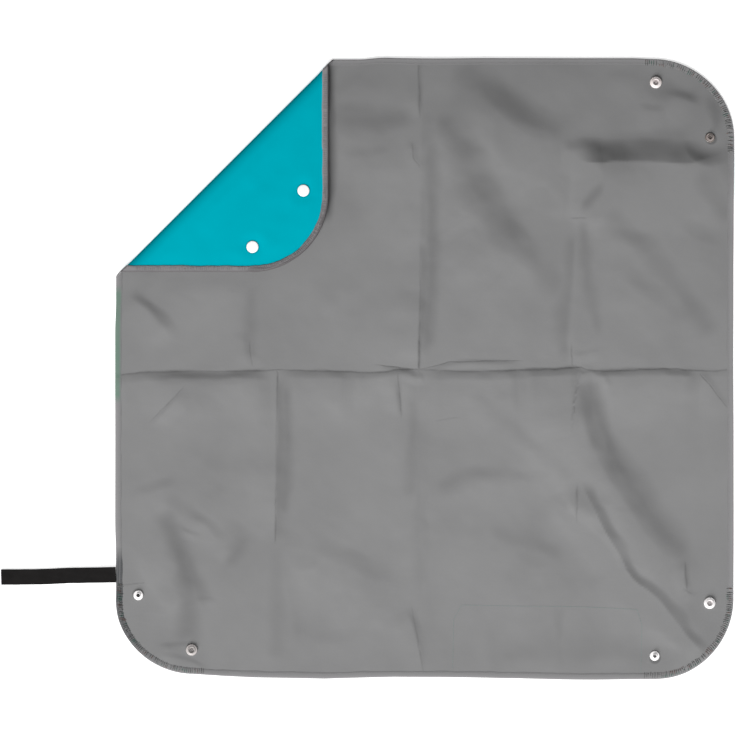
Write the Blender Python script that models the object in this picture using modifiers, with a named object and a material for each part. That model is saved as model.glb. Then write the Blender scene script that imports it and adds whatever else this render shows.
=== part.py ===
"""A repotting mat lying open on a table, grey face up, with one corner folded over so that its teal backing shows.

The mat is a square of two plies, a grey face ply over a teal backing ply. A tape binds the whole edge in a C section.
Each corner carries a pair of press fasteners, one socket and one stud, which snap together to raise the edge into a rim.
A flat elastic loop is sewn to the left edge and holds the mat when it is folded away.

+Z is up and z = 0 is the surface that the mat lies on. +Y is the edge away from the viewer and -X is the strap's side.
The origin is the middle of the footprint, strap included, so the square itself is centred at x = MAT_X.
"""

import math

import bmesh
import bpy
from mathutils import Matrix, Vector

# Driving dimensions, in metres.
SIDE = 0.800  # the square, over its binding
CORNER_R = 0.100  # radius of each corner
FOLD_LEG = 0.276  # how far along each edge a corner's fold line meets it
FLAP_SETBACK = 0.0005  # half the slot that a flat corner's fold line needs
ROLL_SETBACK = 0.0065  # the same where the sheet rolls over, at the folded corner
HALF_SLOT = 0.0010  # the slot along the fold across the middle

TAPE_W = 0.0080  # how far the binding reaches in from the edge
TAPE_T = 0.0008  # each of its legs, which are two layers of tape
PLY_T = 0.0004
PLY_GAP = 0.0001
PLY_INSET = 0.0010  # from the outer edge to the plies' own edge
BACKING_Z = TAPE_T + PLY_GAP
FACE_Z = BACKING_Z + PLY_T + PLY_GAP
FACE_TOP = FACE_Z + PLY_T
EDGE_H = FACE_TOP + PLY_GAP + TAPE_T  # 2.7 mm at the bound edge

CORNER_AXIS_Z = 0.0037  # fold lines of the corners: a folded corner clears the fasteners under it
HALF_AXIS_Z = 0.0076  # fold line across the middle: two folded corners clear each other
STRAP_AXIS_Z = 0.0024

# Where the fasteners sit on the flat mat, (x, y). They are about 31 mm from one edge of their corner and 101 mm from the other.
SOCKET_AT = {
    "far_left": (-0.3674, 0.3012),
    "far_right": (0.2999, 0.3702),
    "near_left": (-0.3018, -0.3654),
    "near_right": (0.3697, -0.3047),
}
STUD_AT = {
    "far_left": (-0.2945, 0.3672),
    "far_right": (0.3701, 0.2986),
    "near_left": (-0.3709, -0.2946),
    "near_right": (0.2985, -0.3732),
}
POST_R = 0.0012
POST_HOLE_R = 0.0018
CAP_R = 0.00775
SOCKET_R = 0.0076
STUD_R = 0.0064
WELL_R = 0.0034  # the well in a socket
KNOB_R = 0.0030  # the knob of a stud, which snaps into it
PLATE_Z = FACE_TOP + 0.0001

STRAP_L = 0.1490
STRAP_W = 0.0200
STRAP_T = 0.0007  # one layer of the webbing
STRAP_GAP = 0.0003  # between the loop's two layers
STRAP_Y = -0.2682  # middle of the seam, on the left edge
STRAP_TURN = math.radians(1.35)  # it lies a little askew, its free end towards -Y

A = SIDE / 2
K = SIDE - FOLD_LEG  # a fold line is where |x| + |y| = K
MAT_X = STRAP_L / 2

GREY = (0.235, 0.235, 0.238)
TEAL = (0.000, 0.330, 0.420)
TAPE = (0.285, 0.275, 0.290)
WHITE = (0.820, 0.800, 0.800)
SILVER = (0.560, 0.550, 0.560)
BLACK = (0.018, 0.016, 0.019)


def clear_scene():
    for ob in list(bpy.data.objects):
        bpy.data.objects.remove(ob, do_unlink=True)


def make_collection(name, hidden=False):
    col = bpy.data.collections.new(name)
    bpy.context.scene.collection.children.link(col)
    col.hide_render = hidden
    return col


def material(name, colour, roughness, metallic=0.0):
    mat = bpy.data.materials.new(name)
    mat.use_nodes = True
    shader = mat.node_tree.nodes["Principled BSDF"]
    shader.inputs["Base Color"].default_value = (*colour, 1.0)
    shader.inputs["Roughness"].default_value = roughness
    shader.inputs["Metallic"].default_value = metallic
    mat.diffuse_color = (*colour, 1.0)
    return mat


def empty(name, location, direction=None, parent=None):
    """An empty whose local X runs along direction, so a joint turns about its X."""
    ob = bpy.data.objects.new(name, None)
    ob.empty_display_size = 0.03
    MAT.objects.link(ob)
    ob.parent = parent
    turn = 0.0 if direction is None else math.atan2(direction[1], direction[0])
    ob.location = location
    ob.rotation_euler = (0.0, 0.0, turn)
    bpy.context.view_layer.update()
    return ob


def hang(ob, parent, flat_matrix):
    """Parents ob, which is placed in the flat mat's own frame, to an empty on a joint's axis."""
    ob.parent = parent
    ob.matrix_parent_inverse = flat_matrix.inverted()


# Outlines. sx and sy are the signs of a corner: (-1, 1) is the far left one.


def corner_arc(sx, sy, inset, steps=14):
    """Points round one corner, from its horizontal edge to its vertical edge."""
    radius = CORNER_R - inset
    centre = A - CORNER_R
    points = []
    for i in range(steps + 1):
        turn = math.pi / 2 * (1 - i / steps)
        points.append(
            (
                sx * (centre + radius * math.cos(turn)),
                sy * (centre + radius * math.sin(turn)),
            )
        )
    return points


def flap_outline(sx, sy, setback, inset):
    """A corner beyond its fold line: a triangle with its outer corner rounded."""
    reach = K + setback * math.sqrt(2) - (A - inset)
    edge = A - inset
    return [
        (sx * reach, sy * edge),
        *corner_arc(sx, sy, inset),
        (sx * edge, sy * reach),
    ]


def half_outline(sy, left_setback, right_setback, inset):
    """Half the mat, from the middle fold to one edge, less its two corners."""
    edge = A - inset
    left = K - left_setback * math.sqrt(2) - edge
    right = K - right_setback * math.sqrt(2) - edge
    return [
        (-edge, sy * HALF_SLOT / 2),
        (-edge, sy * left),
        (-left, sy * edge),
        (right, sy * edge),
        (edge, sy * right),
        (edge, sy * HALF_SLOT / 2),
    ]


def circle(x, y, radius, steps=16):
    return [
        (
            x + radius * math.cos(2 * math.pi * i / steps),
            y + radius * math.sin(2 * math.pi * i / steps),
        )
        for i in range(steps)
    ]


def sheet_solid(name, outlines, low, thickness, mat):
    """A flat outline, with holes where further outlines lie inside the first, made solid upwards from low."""
    curve = bpy.data.curves.new(name, "CURVE")
    curve.dimensions = "2D"
    curve.fill_mode = "BOTH"
    curve.extrude = thickness / 2
    for outline in outlines:
        spline = curve.splines.new("POLY")
        spline.points.add(len(outline) - 1)
        for point, (x, y) in zip(spline.points, outline):
            point.co = (x, y, 0.0, 1.0)
        spline.use_cyclic_u = True
    ob = bpy.data.objects.new(name, curve)
    ob.location = (0.0, 0.0, low + thickness / 2)
    curve.materials.append(mat)
    MAT.objects.link(ob)
    return ob


# The binding: a C section swept once round the mat, then cut into its runs at the fold lines.


def binding_ring():
    """The whole binding as one mesh in the flat mat's frame."""
    nick = TAPE_T / 2
    section = [
        (nick, 0.0),
        (TAPE_W, 0.0),
        (TAPE_W, TAPE_T),
        (TAPE_T, TAPE_T),
        (TAPE_T, EDGE_H - TAPE_T),
        (TAPE_W, EDGE_H - TAPE_T),
        (TAPE_W, EDGE_H),
        (nick, EDGE_H),
        (0.0, EDGE_H - nick),
        (0.0, nick),
    ]
    profile = bpy.data.curves.new("binding_section", "CURVE")
    profile.dimensions = "2D"
    spline = profile.splines.new("POLY")
    spline.points.add(len(section) - 1)
    for point, (inward, height) in zip(spline.points, section):
        point.co = (inward, height, 0.0, 1.0)
    spline.use_cyclic_u = True
    profile_ob = bpy.data.objects.new("binding_section", profile)
    TOOLS.objects.link(profile_ob)

    path = bpy.data.curves.new("binding_path", "CURVE")
    path.dimensions = "3D"
    path.twist_mode = "Z_UP"
    path.bevel_mode = "OBJECT"
    path.bevel_object = profile_ob
    points = []
    for sx, sy in ((1, 1), (1, -1), (-1, -1), (-1, 1)):
        arc = corner_arc(sx, sy, 0.0)
        points += arc if sx * sy > 0 else arc[::-1]
    spline = path.splines.new("POLY")
    spline.points.add(len(points) - 1)
    for point, (x, y) in zip(spline.points, points):
        point.co = (x, y, 0.0, 1.0)
    spline.use_cyclic_u = True
    path_ob = bpy.data.objects.new("binding_path", path)
    TOOLS.objects.link(path_ob)
    bpy.context.view_layer.update()
    graph = bpy.context.evaluated_depsgraph_get()
    mesh = bpy.data.meshes.new_from_object(path_ob.evaluated_get(graph))
    for ob in (path_ob, profile_ob):
        bpy.data.objects.remove(ob, do_unlink=True)
    bm = bmesh.new()
    bm.from_mesh(mesh)
    bmesh.ops.remove_doubles(bm, verts=bm.verts, dist=1e-6)
    bmesh.ops.recalc_face_normals(bm, faces=bm.faces)
    return bm


def binding_run(name, ring, planes, mat):
    """The part of the ring that lies behind every plane, each cut end closed with a face."""
    bm = ring.copy()
    for point, normal in planes:
        bmesh.ops.bisect_plane(
            bm,
            geom=bm.verts[:] + bm.edges[:] + bm.faces[:],
            dist=1e-7,
            plane_co=point,
            plane_no=normal,
            clear_outer=True,
        )
        open_edges = [e for e in bm.edges if e.is_boundary]
        bmesh.ops.holes_fill(bm, edges=open_edges, sides=0)
    bmesh.ops.recalc_face_normals(bm, faces=bm.faces)
    mesh = bpy.data.meshes.new(name)
    bm.to_mesh(mesh)
    bm.free()
    mesh.materials.append(mat)
    ob = bpy.data.objects.new(name, mesh)
    MAT.objects.link(ob)
    return ob


def inside_fold(sx, sy, setback):
    """The plane of a corner's fold line, keeping the middle of the mat."""
    reach = K / 2 - setback / math.sqrt(2)
    return (sx * reach, sy * reach, 0.0), (sx, sy, 0.0)


def beyond_fold(sx, sy, setback):
    """The same plane, keeping the corner."""
    reach = K / 2 + setback / math.sqrt(2)
    return (sx * reach, sy * reach, 0.0), (-sx, -sy, 0.0)


# Press fasteners, as turned profiles. Each runs from the axis at its top, down its outer side, to the axis below.


def turned(name, profile, mat, x, y, closed=False):
    mesh = bpy.data.meshes.new(name)
    bm = bmesh.new()
    verts = [bm.verts.new((r, 0.0, z)) for r, z in profile]
    for a, b in zip(verts, verts[1:]):
        bm.edges.new((a, b))
    if closed:
        bm.edges.new((verts[-1], verts[0]))
    bm.to_mesh(mesh)
    bm.free()
    mesh.materials.append(mat)
    ob = bpy.data.objects.new(name, mesh)
    ob.location = (x, y, 0.0)
    screw = ob.modifiers.new("turn", "SCREW")
    screw.axis = "Z"
    screw.angle = 2 * math.pi
    screw.steps = 24
    screw.render_steps = 24
    screw.use_merge_vertices = True
    screw.merge_threshold = 0.00005
    screw.use_smooth_shade = True
    MAT.objects.link(ob)
    return ob


def cap_profile():
    """A domed disc under the backing, and a post through both plies whose end is spread over the plate above them."""
    head = PLATE_Z + 0.0011
    return [
        (0.0, head + 0.0006),
        (0.0019, head + 0.0005),
        (0.0021, head + 0.0002),
        (POST_R, head),
        (POST_R, TAPE_T - 0.00005),
        (CAP_R - 0.0005, TAPE_T - 0.00005),
        (CAP_R, TAPE_T - 0.0003),
        (CAP_R - 0.0003, 0.0002),
        (CAP_R - 0.0014, 0.00005),
        (0.0, 0.00005),
    ]


def socket_profile():
    """A ring with a well that takes the stud's knob. Its plate lies on the face ply round the post."""
    return [
        (WELL_R, PLATE_Z + 0.0029),
        (WELL_R + 0.0008, PLATE_Z + 0.0032),
        (SOCKET_R - 0.0014, PLATE_Z + 0.0029),
        (SOCKET_R - 0.0003, PLATE_Z + 0.0018),
        (SOCKET_R, PLATE_Z + 0.0008),
        (SOCKET_R - 0.0002, PLATE_Z),
        (POST_R + 0.0003, PLATE_Z),
        (POST_R + 0.0003, PLATE_Z + 0.0009),
        (WELL_R - 0.0002, PLATE_Z + 0.0010),
    ]


def stud_profile():
    """A flat plate with a hollow knob round the post's end."""
    return [
        (KNOB_R - 0.0006, PLATE_Z + 0.0032),
        (KNOB_R - 0.0001, PLATE_Z + 0.0031),
        (KNOB_R + 0.0002, PLATE_Z + 0.0026),
        (KNOB_R - 0.0001, PLATE_Z + 0.0013),
        (STUD_R - 0.0008, PLATE_Z + 0.0011),
        (STUD_R, PLATE_Z + 0.0006),
        (STUD_R - 0.0002, PLATE_Z),
        (POST_R + 0.0003, PLATE_Z),
        (POST_R + 0.0003, PLATE_Z + 0.0009),
        (KNOB_R - 0.0006, PLATE_Z + 0.0010),
    ]


def strap_loop(name, mat):
    """The elastic loop seen from its side: two layers that turn back at the free end, made solid across its width."""
    height = 2 * STRAP_T + STRAP_GAP
    outer = height / 2
    inner = STRAP_GAP / 2
    end = STRAP_L - 0.0005 - outer
    outline = [(0.0, outer)]
    outline += [
        (end + outer * math.sin(t), outer * math.cos(t))
        for t in [math.pi * i / 10 for i in range(11)]
    ]
    outline += [(0.0, -outer), (0.0, -inner)]
    outline += [
        (end + inner * math.sin(t), inner * math.cos(t))
        for t in [math.pi * (1 - i / 6) for i in range(7)]
    ]
    outline += [(0.0, inner)]
    curve = bpy.data.curves.new(name, "CURVE")
    curve.dimensions = "2D"
    curve.fill_mode = "BOTH"
    curve.extrude = STRAP_W / 2
    spline = curve.splines.new("POLY")
    spline.points.add(len(outline) - 1)
    for point, (x, y) in zip(spline.points, outline):
        point.co = (x, y, 0.0, 1.0)
    spline.use_cyclic_u = True
    curve.materials.append(mat)
    ob = bpy.data.objects.new(name, curve)
    MAT.objects.link(ob)
    return ob


clear_scene()
MAT = make_collection("repotting_mat")
TOOLS = make_collection("construction", hidden=True)

grey = material("grey_coated_face", GREY, 0.62)
teal = material("teal_backing", TEAL, 0.55)
tape = material("grey_tape", TAPE, 0.85)
white = material("white_plastic", WHITE, 0.32)
silver = material("pale_plastic", SILVER, 0.30)
black = material("black_webbing", BLACK, 0.80)

centre = empty("mat_centre", (MAT_X, 0.0, 0.0))
half_fold = empty("half_fold_axis", (0.0, 0.0, HALF_AXIS_Z), (1, 0), centre)

# The half nearer the viewer stays put; the far half turns about half_fold_axis.
# Every piece is placed in the flat mat's frame, then hung on the empty of its body.
CORNERS = {
    "far_left": (-1, 1),
    "far_right": (1, 1),
    "near_left": (-1, -1),
    "near_right": (1, -1),
}
flat = {"near_half": centre.matrix_world.inverted() @ centre.matrix_world}
flat["far_half"] = centre.matrix_world.inverted() @ half_fold.matrix_world
hang_on = {"near_half": centre, "far_half": half_fold}
setback = {}
for corner, (sx, sy) in CORNERS.items():
    half = "far_half" if sy > 0 else "near_half"
    axis = empty(
        corner + "_fold_axis",
        (sx * K / 2, sy * K / 2, CORNER_AXIS_Z),
        (sx, -sy),
        centre,
    )
    flat[corner] = centre.matrix_world.inverted() @ axis.matrix_world
    world = axis.matrix_world.copy()
    if half == "far_half":
        axis.parent = half_fold
        axis.matrix_world = world
        bpy.context.view_layer.update()
    hang_on[corner] = axis
    setback[corner] = FLAP_SETBACK
setback["far_left"] = ROLL_SETBACK

ring = binding_ring()

near = half_outline(-1, setback["near_left"], setback["near_right"], PLY_INSET)
far = half_outline(1, setback["far_left"], setback["far_right"], PLY_INSET)
for half, outline in (("near_half", near), ("far_half", far)):
    sy = 1 if half == "far_half" else -1
    side = half[:-5]
    backing = sheet_solid(side + "_backing_ply", [outline], BACKING_Z, PLY_T, teal)
    face = sheet_solid(side + "_face_ply", [outline], FACE_Z, PLY_T, grey)
    middle = (Vector((0, sy * HALF_SLOT / 2, 0)), Vector((0, -sy, 0)))
    folds = {
        -1: inside_fold(-1, sy, setback[side + "_left"]),
        1: inside_fold(1, sy, setback[side + "_right"]),
    }
    runs = [
        binding_run(
            side + "_edge_binding",
            ring,
            [folds[-1], folds[1], ((0, sy * A / 2, 0), (0, -sy, 0))],
            tape,
        )
    ]
    for sx, word in ((-1, "_left_side_binding"), (1, "_right_side_binding")):
        runs.append(
            binding_run(
                side + word,
                ring,
                [folds[sx], middle, ((sx * A / 2, 0, 0), (-sx, 0, 0))],
                tape,
            )
        )
    for ob in (backing, face, *runs):
        hang(ob, hang_on[half], flat[half])

for corner, (sx, sy) in CORNERS.items():
    outline = flap_outline(sx, sy, setback[corner], PLY_INSET)
    socket_at, stud_at = SOCKET_AT[corner], STUD_AT[corner]
    holes = [circle(*at, POST_HOLE_R) for at in (socket_at, stud_at)]
    pieces = [
        sheet_solid(
            corner + "_backing_ply", [outline, *holes], BACKING_Z, PLY_T, teal
        ),
        sheet_solid(corner + "_face_ply", [outline, *holes], FACE_Z, PLY_T, grey),
        binding_run(
            corner + "_corner_binding", ring, [beyond_fold(sx, sy, setback[corner])], tape
        ),
        turned(corner + "_socket_cap", cap_profile(), white, *socket_at),
        turned(corner + "_socket", socket_profile(), silver, *socket_at, closed=True),
        turned(corner + "_stud_cap", cap_profile(), white, *stud_at),
        turned(corner + "_stud", stud_profile(), silver, *stud_at, closed=True),
    ]
    for ob in pieces:
        hang(ob, hang_on[corner], flat[corner])
ring.free()

# The far left corner is stored folded over: half a turn about its axis.
hang_on["far_left"].rotation_euler.rotate_axis("X", math.pi)

# The strap lies out to the left of the near left corner. Its empty sits on the seam, and its X runs along the seam.
strap_axis = empty(
    "strap_axis",
    (-A, STRAP_Y, STRAP_AXIS_Z),
    (-math.sin(STRAP_TURN), math.cos(STRAP_TURN)),
    centre,
)
world = strap_axis.matrix_world.copy()
strap_axis.parent = hang_on["near_left"]
strap_axis.matrix_world = world
bpy.context.view_layer.update()
loop = strap_loop("elastic_strap", black)
loop.parent = strap_axis
loop.rotation_euler = Matrix(((0, 0, 1), (1, 0, 0), (0, 1, 0))).to_euler()
loop.location = (0.0, 0.0005, 0.0001 + STRAP_T + STRAP_GAP / 2 - STRAP_AXIS_Z)

for ob in MAT.objects:
    if ob.type == "MESH":
        ob.data.set_sharp_from_angle(angle=math.radians(35))
bpy.context.view_layer.update()
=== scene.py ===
"""The looks of the repotting mat: two coated cloths with their creases, the sewn edge tape, eight press fasteners and the elastic loop.

Lengths are in metres. "Flat" coordinates (x, y) are those of the mat laid flat, with its middle at 0, 0: every cloth, tape and stitch is drawn
there first, and place() then lays it out, over the creases and round the rolled fold of the far left corner.
"""

import math

import bpy
import numpy as np
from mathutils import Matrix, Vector


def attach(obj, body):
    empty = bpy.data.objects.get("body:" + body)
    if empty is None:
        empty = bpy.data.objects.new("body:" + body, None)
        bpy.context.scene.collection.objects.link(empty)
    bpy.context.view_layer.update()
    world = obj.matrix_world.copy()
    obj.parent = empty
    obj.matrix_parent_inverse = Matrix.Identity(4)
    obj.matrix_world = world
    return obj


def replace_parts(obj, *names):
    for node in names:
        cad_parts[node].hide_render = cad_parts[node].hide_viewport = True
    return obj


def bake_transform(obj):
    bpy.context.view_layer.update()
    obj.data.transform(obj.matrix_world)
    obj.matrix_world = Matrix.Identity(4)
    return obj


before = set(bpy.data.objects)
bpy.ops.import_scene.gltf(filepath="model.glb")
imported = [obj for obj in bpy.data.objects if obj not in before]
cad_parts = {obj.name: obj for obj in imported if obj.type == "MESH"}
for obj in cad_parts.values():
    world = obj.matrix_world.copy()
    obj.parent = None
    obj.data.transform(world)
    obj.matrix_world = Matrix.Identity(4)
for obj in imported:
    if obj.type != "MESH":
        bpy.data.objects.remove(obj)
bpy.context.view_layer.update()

# Sizes, the same as the CAD's.
MAT_X = 0.0745
A = 0.400
R = 0.100
K = 0.524
AXIS_Z = 0.0037
SEAM_Y = -0.2682
SOCKET_AT = {
    "far_left": (-0.3674, 0.3012),
    "far_right": (0.2999, 0.3702),
    "near_left": (-0.3018, -0.3654),
    "near_right": (0.3697, -0.3047),
}
STUD_AT = {
    "far_left": (-0.2945, 0.3672),
    "far_right": (0.3701, 0.2986),
    "near_left": (-0.3709, -0.2946),
    "near_right": (0.2985, -0.3732),
}
MID = 0.00135  # middle of the two cloths, where they lie flat
HALF_T = 0.00045
BEND_IN, BEND_OUT = 0.5175, 0.5325  # |x| + |y| where a flat corner starts and ends its bend
ROLL_IN, ROLL_OUT = 0.5000, 0.5500  # the same for the rolled corner
TIP = -0.00455  # how far inward of the fold line the roll's middle surface reaches
MIDDLE = 0.010
G = 0.0025
CORNERS = {
    "far_left": (-1, 1),
    "far_right": (1, 1),
    "near_left": (-1, -1),
    "near_right": (1, -1),
}
rng = np.random.default_rng(11)


def smooth(t):
    t = np.clip(t, 0.0, 1.0)
    return t * t * (3 - 2 * t)


# ---------------------------------------------------------------- the lie of the cloth

CELL = 0.00125
SIDE_N = 641
line = np.linspace(-A, A, SIDE_N)
GX, GY = np.meshgrid(line, line, indexing="ij")


def photo(px, py):
    """A place in the photograph's frame as a flat coordinate."""
    return (px - 424.0) * 0.0012966, (367.4 - py) * 0.0012966


def waves(x, y, length, seed, stretch=1.0, turn=0.0):
    """Smooth seeded noise of about one unit, whose hills are length across and stretch times as long."""
    r = np.random.default_rng(seed)
    c, s = math.cos(turn), math.sin(turn)
    u = (x * c + y * s) / (length * stretch)
    v = (-x * s + y * c) / length
    table = r.standard_normal((64, 64))
    iu, iv = np.floor(u).astype(int), np.floor(v).astype(int)
    fu, fv = u - iu, v - iv
    fu, fv = (
        fu * fu * fu * (fu * (fu * 6 - 15) + 10),
        fv * fv * fv * (fv * (fv * 6 - 15) + 10),
    )

    def at(i, j):
        return table[i % 64, j % 64]

    return (at(iu, iv) * (1 - fu) + at(iu + 1, iv) * fu) * (1 - fv) + (
        at(iu, iv + 1) * (1 - fu) + at(iu + 1, iv + 1) * fu
    ) * fv


def along_points(points, reach, wander, seed):
    """For the grid's points near a line of points: the grid's slices, the distance to the line, on which side of it, and how far along."""
    pts = np.array([photo(*p) for p in points])
    for _ in range(2 if len(pts) > 2 else 0):
        quarter, most = pts[:-1] * 0.75 + pts[1:] * 0.25, pts[:-1] * 0.25 + pts[1:] * 0.75
        cut_ = np.stack([quarter, most], 1).reshape(-1, 2)
        pts = np.concatenate([pts[:1], cut_[1:-1], pts[-1:]])
    lo, hi = pts.min(0) - reach, pts.max(0) + reach
    i0, j0 = np.clip(((lo + A) / CELL).astype(int), 0, SIDE_N - 1)
    i1, j1 = np.clip(((hi + A) / CELL).astype(int) + 2, 1, SIDE_N)
    x, y = GX[i0:i1, j0:j1], GY[i0:i1, j0:j1]
    x, y = (
        x + wander * waves(x, y, 0.019, 300 + seed),
        y + wander * waves(x, y, 0.019, 400 + seed),
    )
    best = np.full(x.shape, 1e9)
    signed = np.zeros(x.shape)
    along = np.zeros(x.shape)
    run = 0.0
    for p, q in zip(pts, pts[1:]):
        d = q - p
        length = float(np.hypot(*d))
        t = np.clip(((x - p[0]) * d[0] + (y - p[1]) * d[1]) / length**2, 0, 1)
        dx, dy = x - (p[0] + t * d[0]), y - (p[1] + t * d[1])
        dist = np.hypot(dx, dy)
        nearer = dist < best
        best = np.where(nearer, dist, best)
        signed = np.where(nearer, (d[0] * dy - d[1] * dx) / length, signed)
        along = np.where(nearer, run + t * length, along)
        run += length
    return (slice(i0, i1), slice(j0, j1)), best, signed, along, run


def add_crease(field, points, height, steep, gentle, sharp=0.6, seed=0):
    """Raises a ridge along points, which run to the right or towards the near edge. It drops over steep mm towards the far edge and the right, and over
    gentle mm on its other side. A negative height is for a pressed fold: the cloth rises by it over steep mm from the points towards the near edge."""
    pressed, height = height < 0, abs(height)
    reach = (steep + gentle) * 1.1e-3 + 0.004
    at, best, signed, along, run = along_points(points, reach, 0.0006 if steep > 9 else 0.0004, seed)
    right = smooth(signed / np.maximum(best, 1e-6) * 0.5 + 0.5)
    wobble = waves(along, along * 0 + 0.3 * seed, 0.024, 500 + seed)
    uneven = 0.07 if pressed or height > 5 or steep > 30 else 0.14
    short = steep * 1e-3 * (1 + uneven * np.clip(wobble, -1.6, 1.6))
    d = np.clip(best / short, 0, 1)
    if pressed:
        d2 = np.clip((best - short) / (gentle * 1e-3), 0, 1)
        shape = (1 - (1 - d) ** (1 + 0.7 * sharp)) * (1 - d2) ** 2 * (1 + 2 * d2) * (1 - right)
    else:
        d2 = np.clip(best / (gentle * 1e-3), 0, 1)
        steep_side = (1 - sharp) * 0.5 * (1 + np.cos(math.pi * d)) + sharp * (1 - d) ** 1.7
        shape = steep_side * right + (1 - d2) ** 2 * (1 + 2 * d2) * (1 - right)
    taper = min(0.026 if pressed or height > 5 else max(0.026, 2.4e-3 * steep), run * 0.45)
    start_taper = taper
    if height > 5:
        start_taper, taper = 0.045, 0.040
    ends = smooth((along + 0.004) / start_taper) * smooth((run - along + 0.004) / taper)
    level_ = 1 + uneven * waves(along, along * 0 + 0.7 * seed, 0.035, 900 + seed)
    field[at] += height * 1e-3 * shape * ends * level_


def add_painted_shade(field, points, depth, before, after, seed=0):
    """Painted shade along points, for the colour: depth at the line, fading over before mm towards the far edge and the
    right and after mm on the other side.
    """
    reach = max(before, after) * 1.5e-3 + 0.004
    at, best, signed, along, run = along_points(points, reach, 0.0010, 50 + seed)
    right = smooth(signed / np.maximum(best, 1e-6) * 0.5 + 0.5)
    wobble = 1 + 0.22 * np.clip(waves(along, along * 0 + 0.4 * seed, 0.026, 700 + seed), -1.5, 1.5)
    width = (after + (before - after) * right) * 1e-3 * wobble
    shape = smooth(1 - best / width)
    taper = min(0.022, run * 0.4)
    ends = smooth((along + 0.003) / taper) * smooth((run - along + 0.003) / taper)
    field[at] = np.maximum(field[at], depth * shape * ends)


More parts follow.
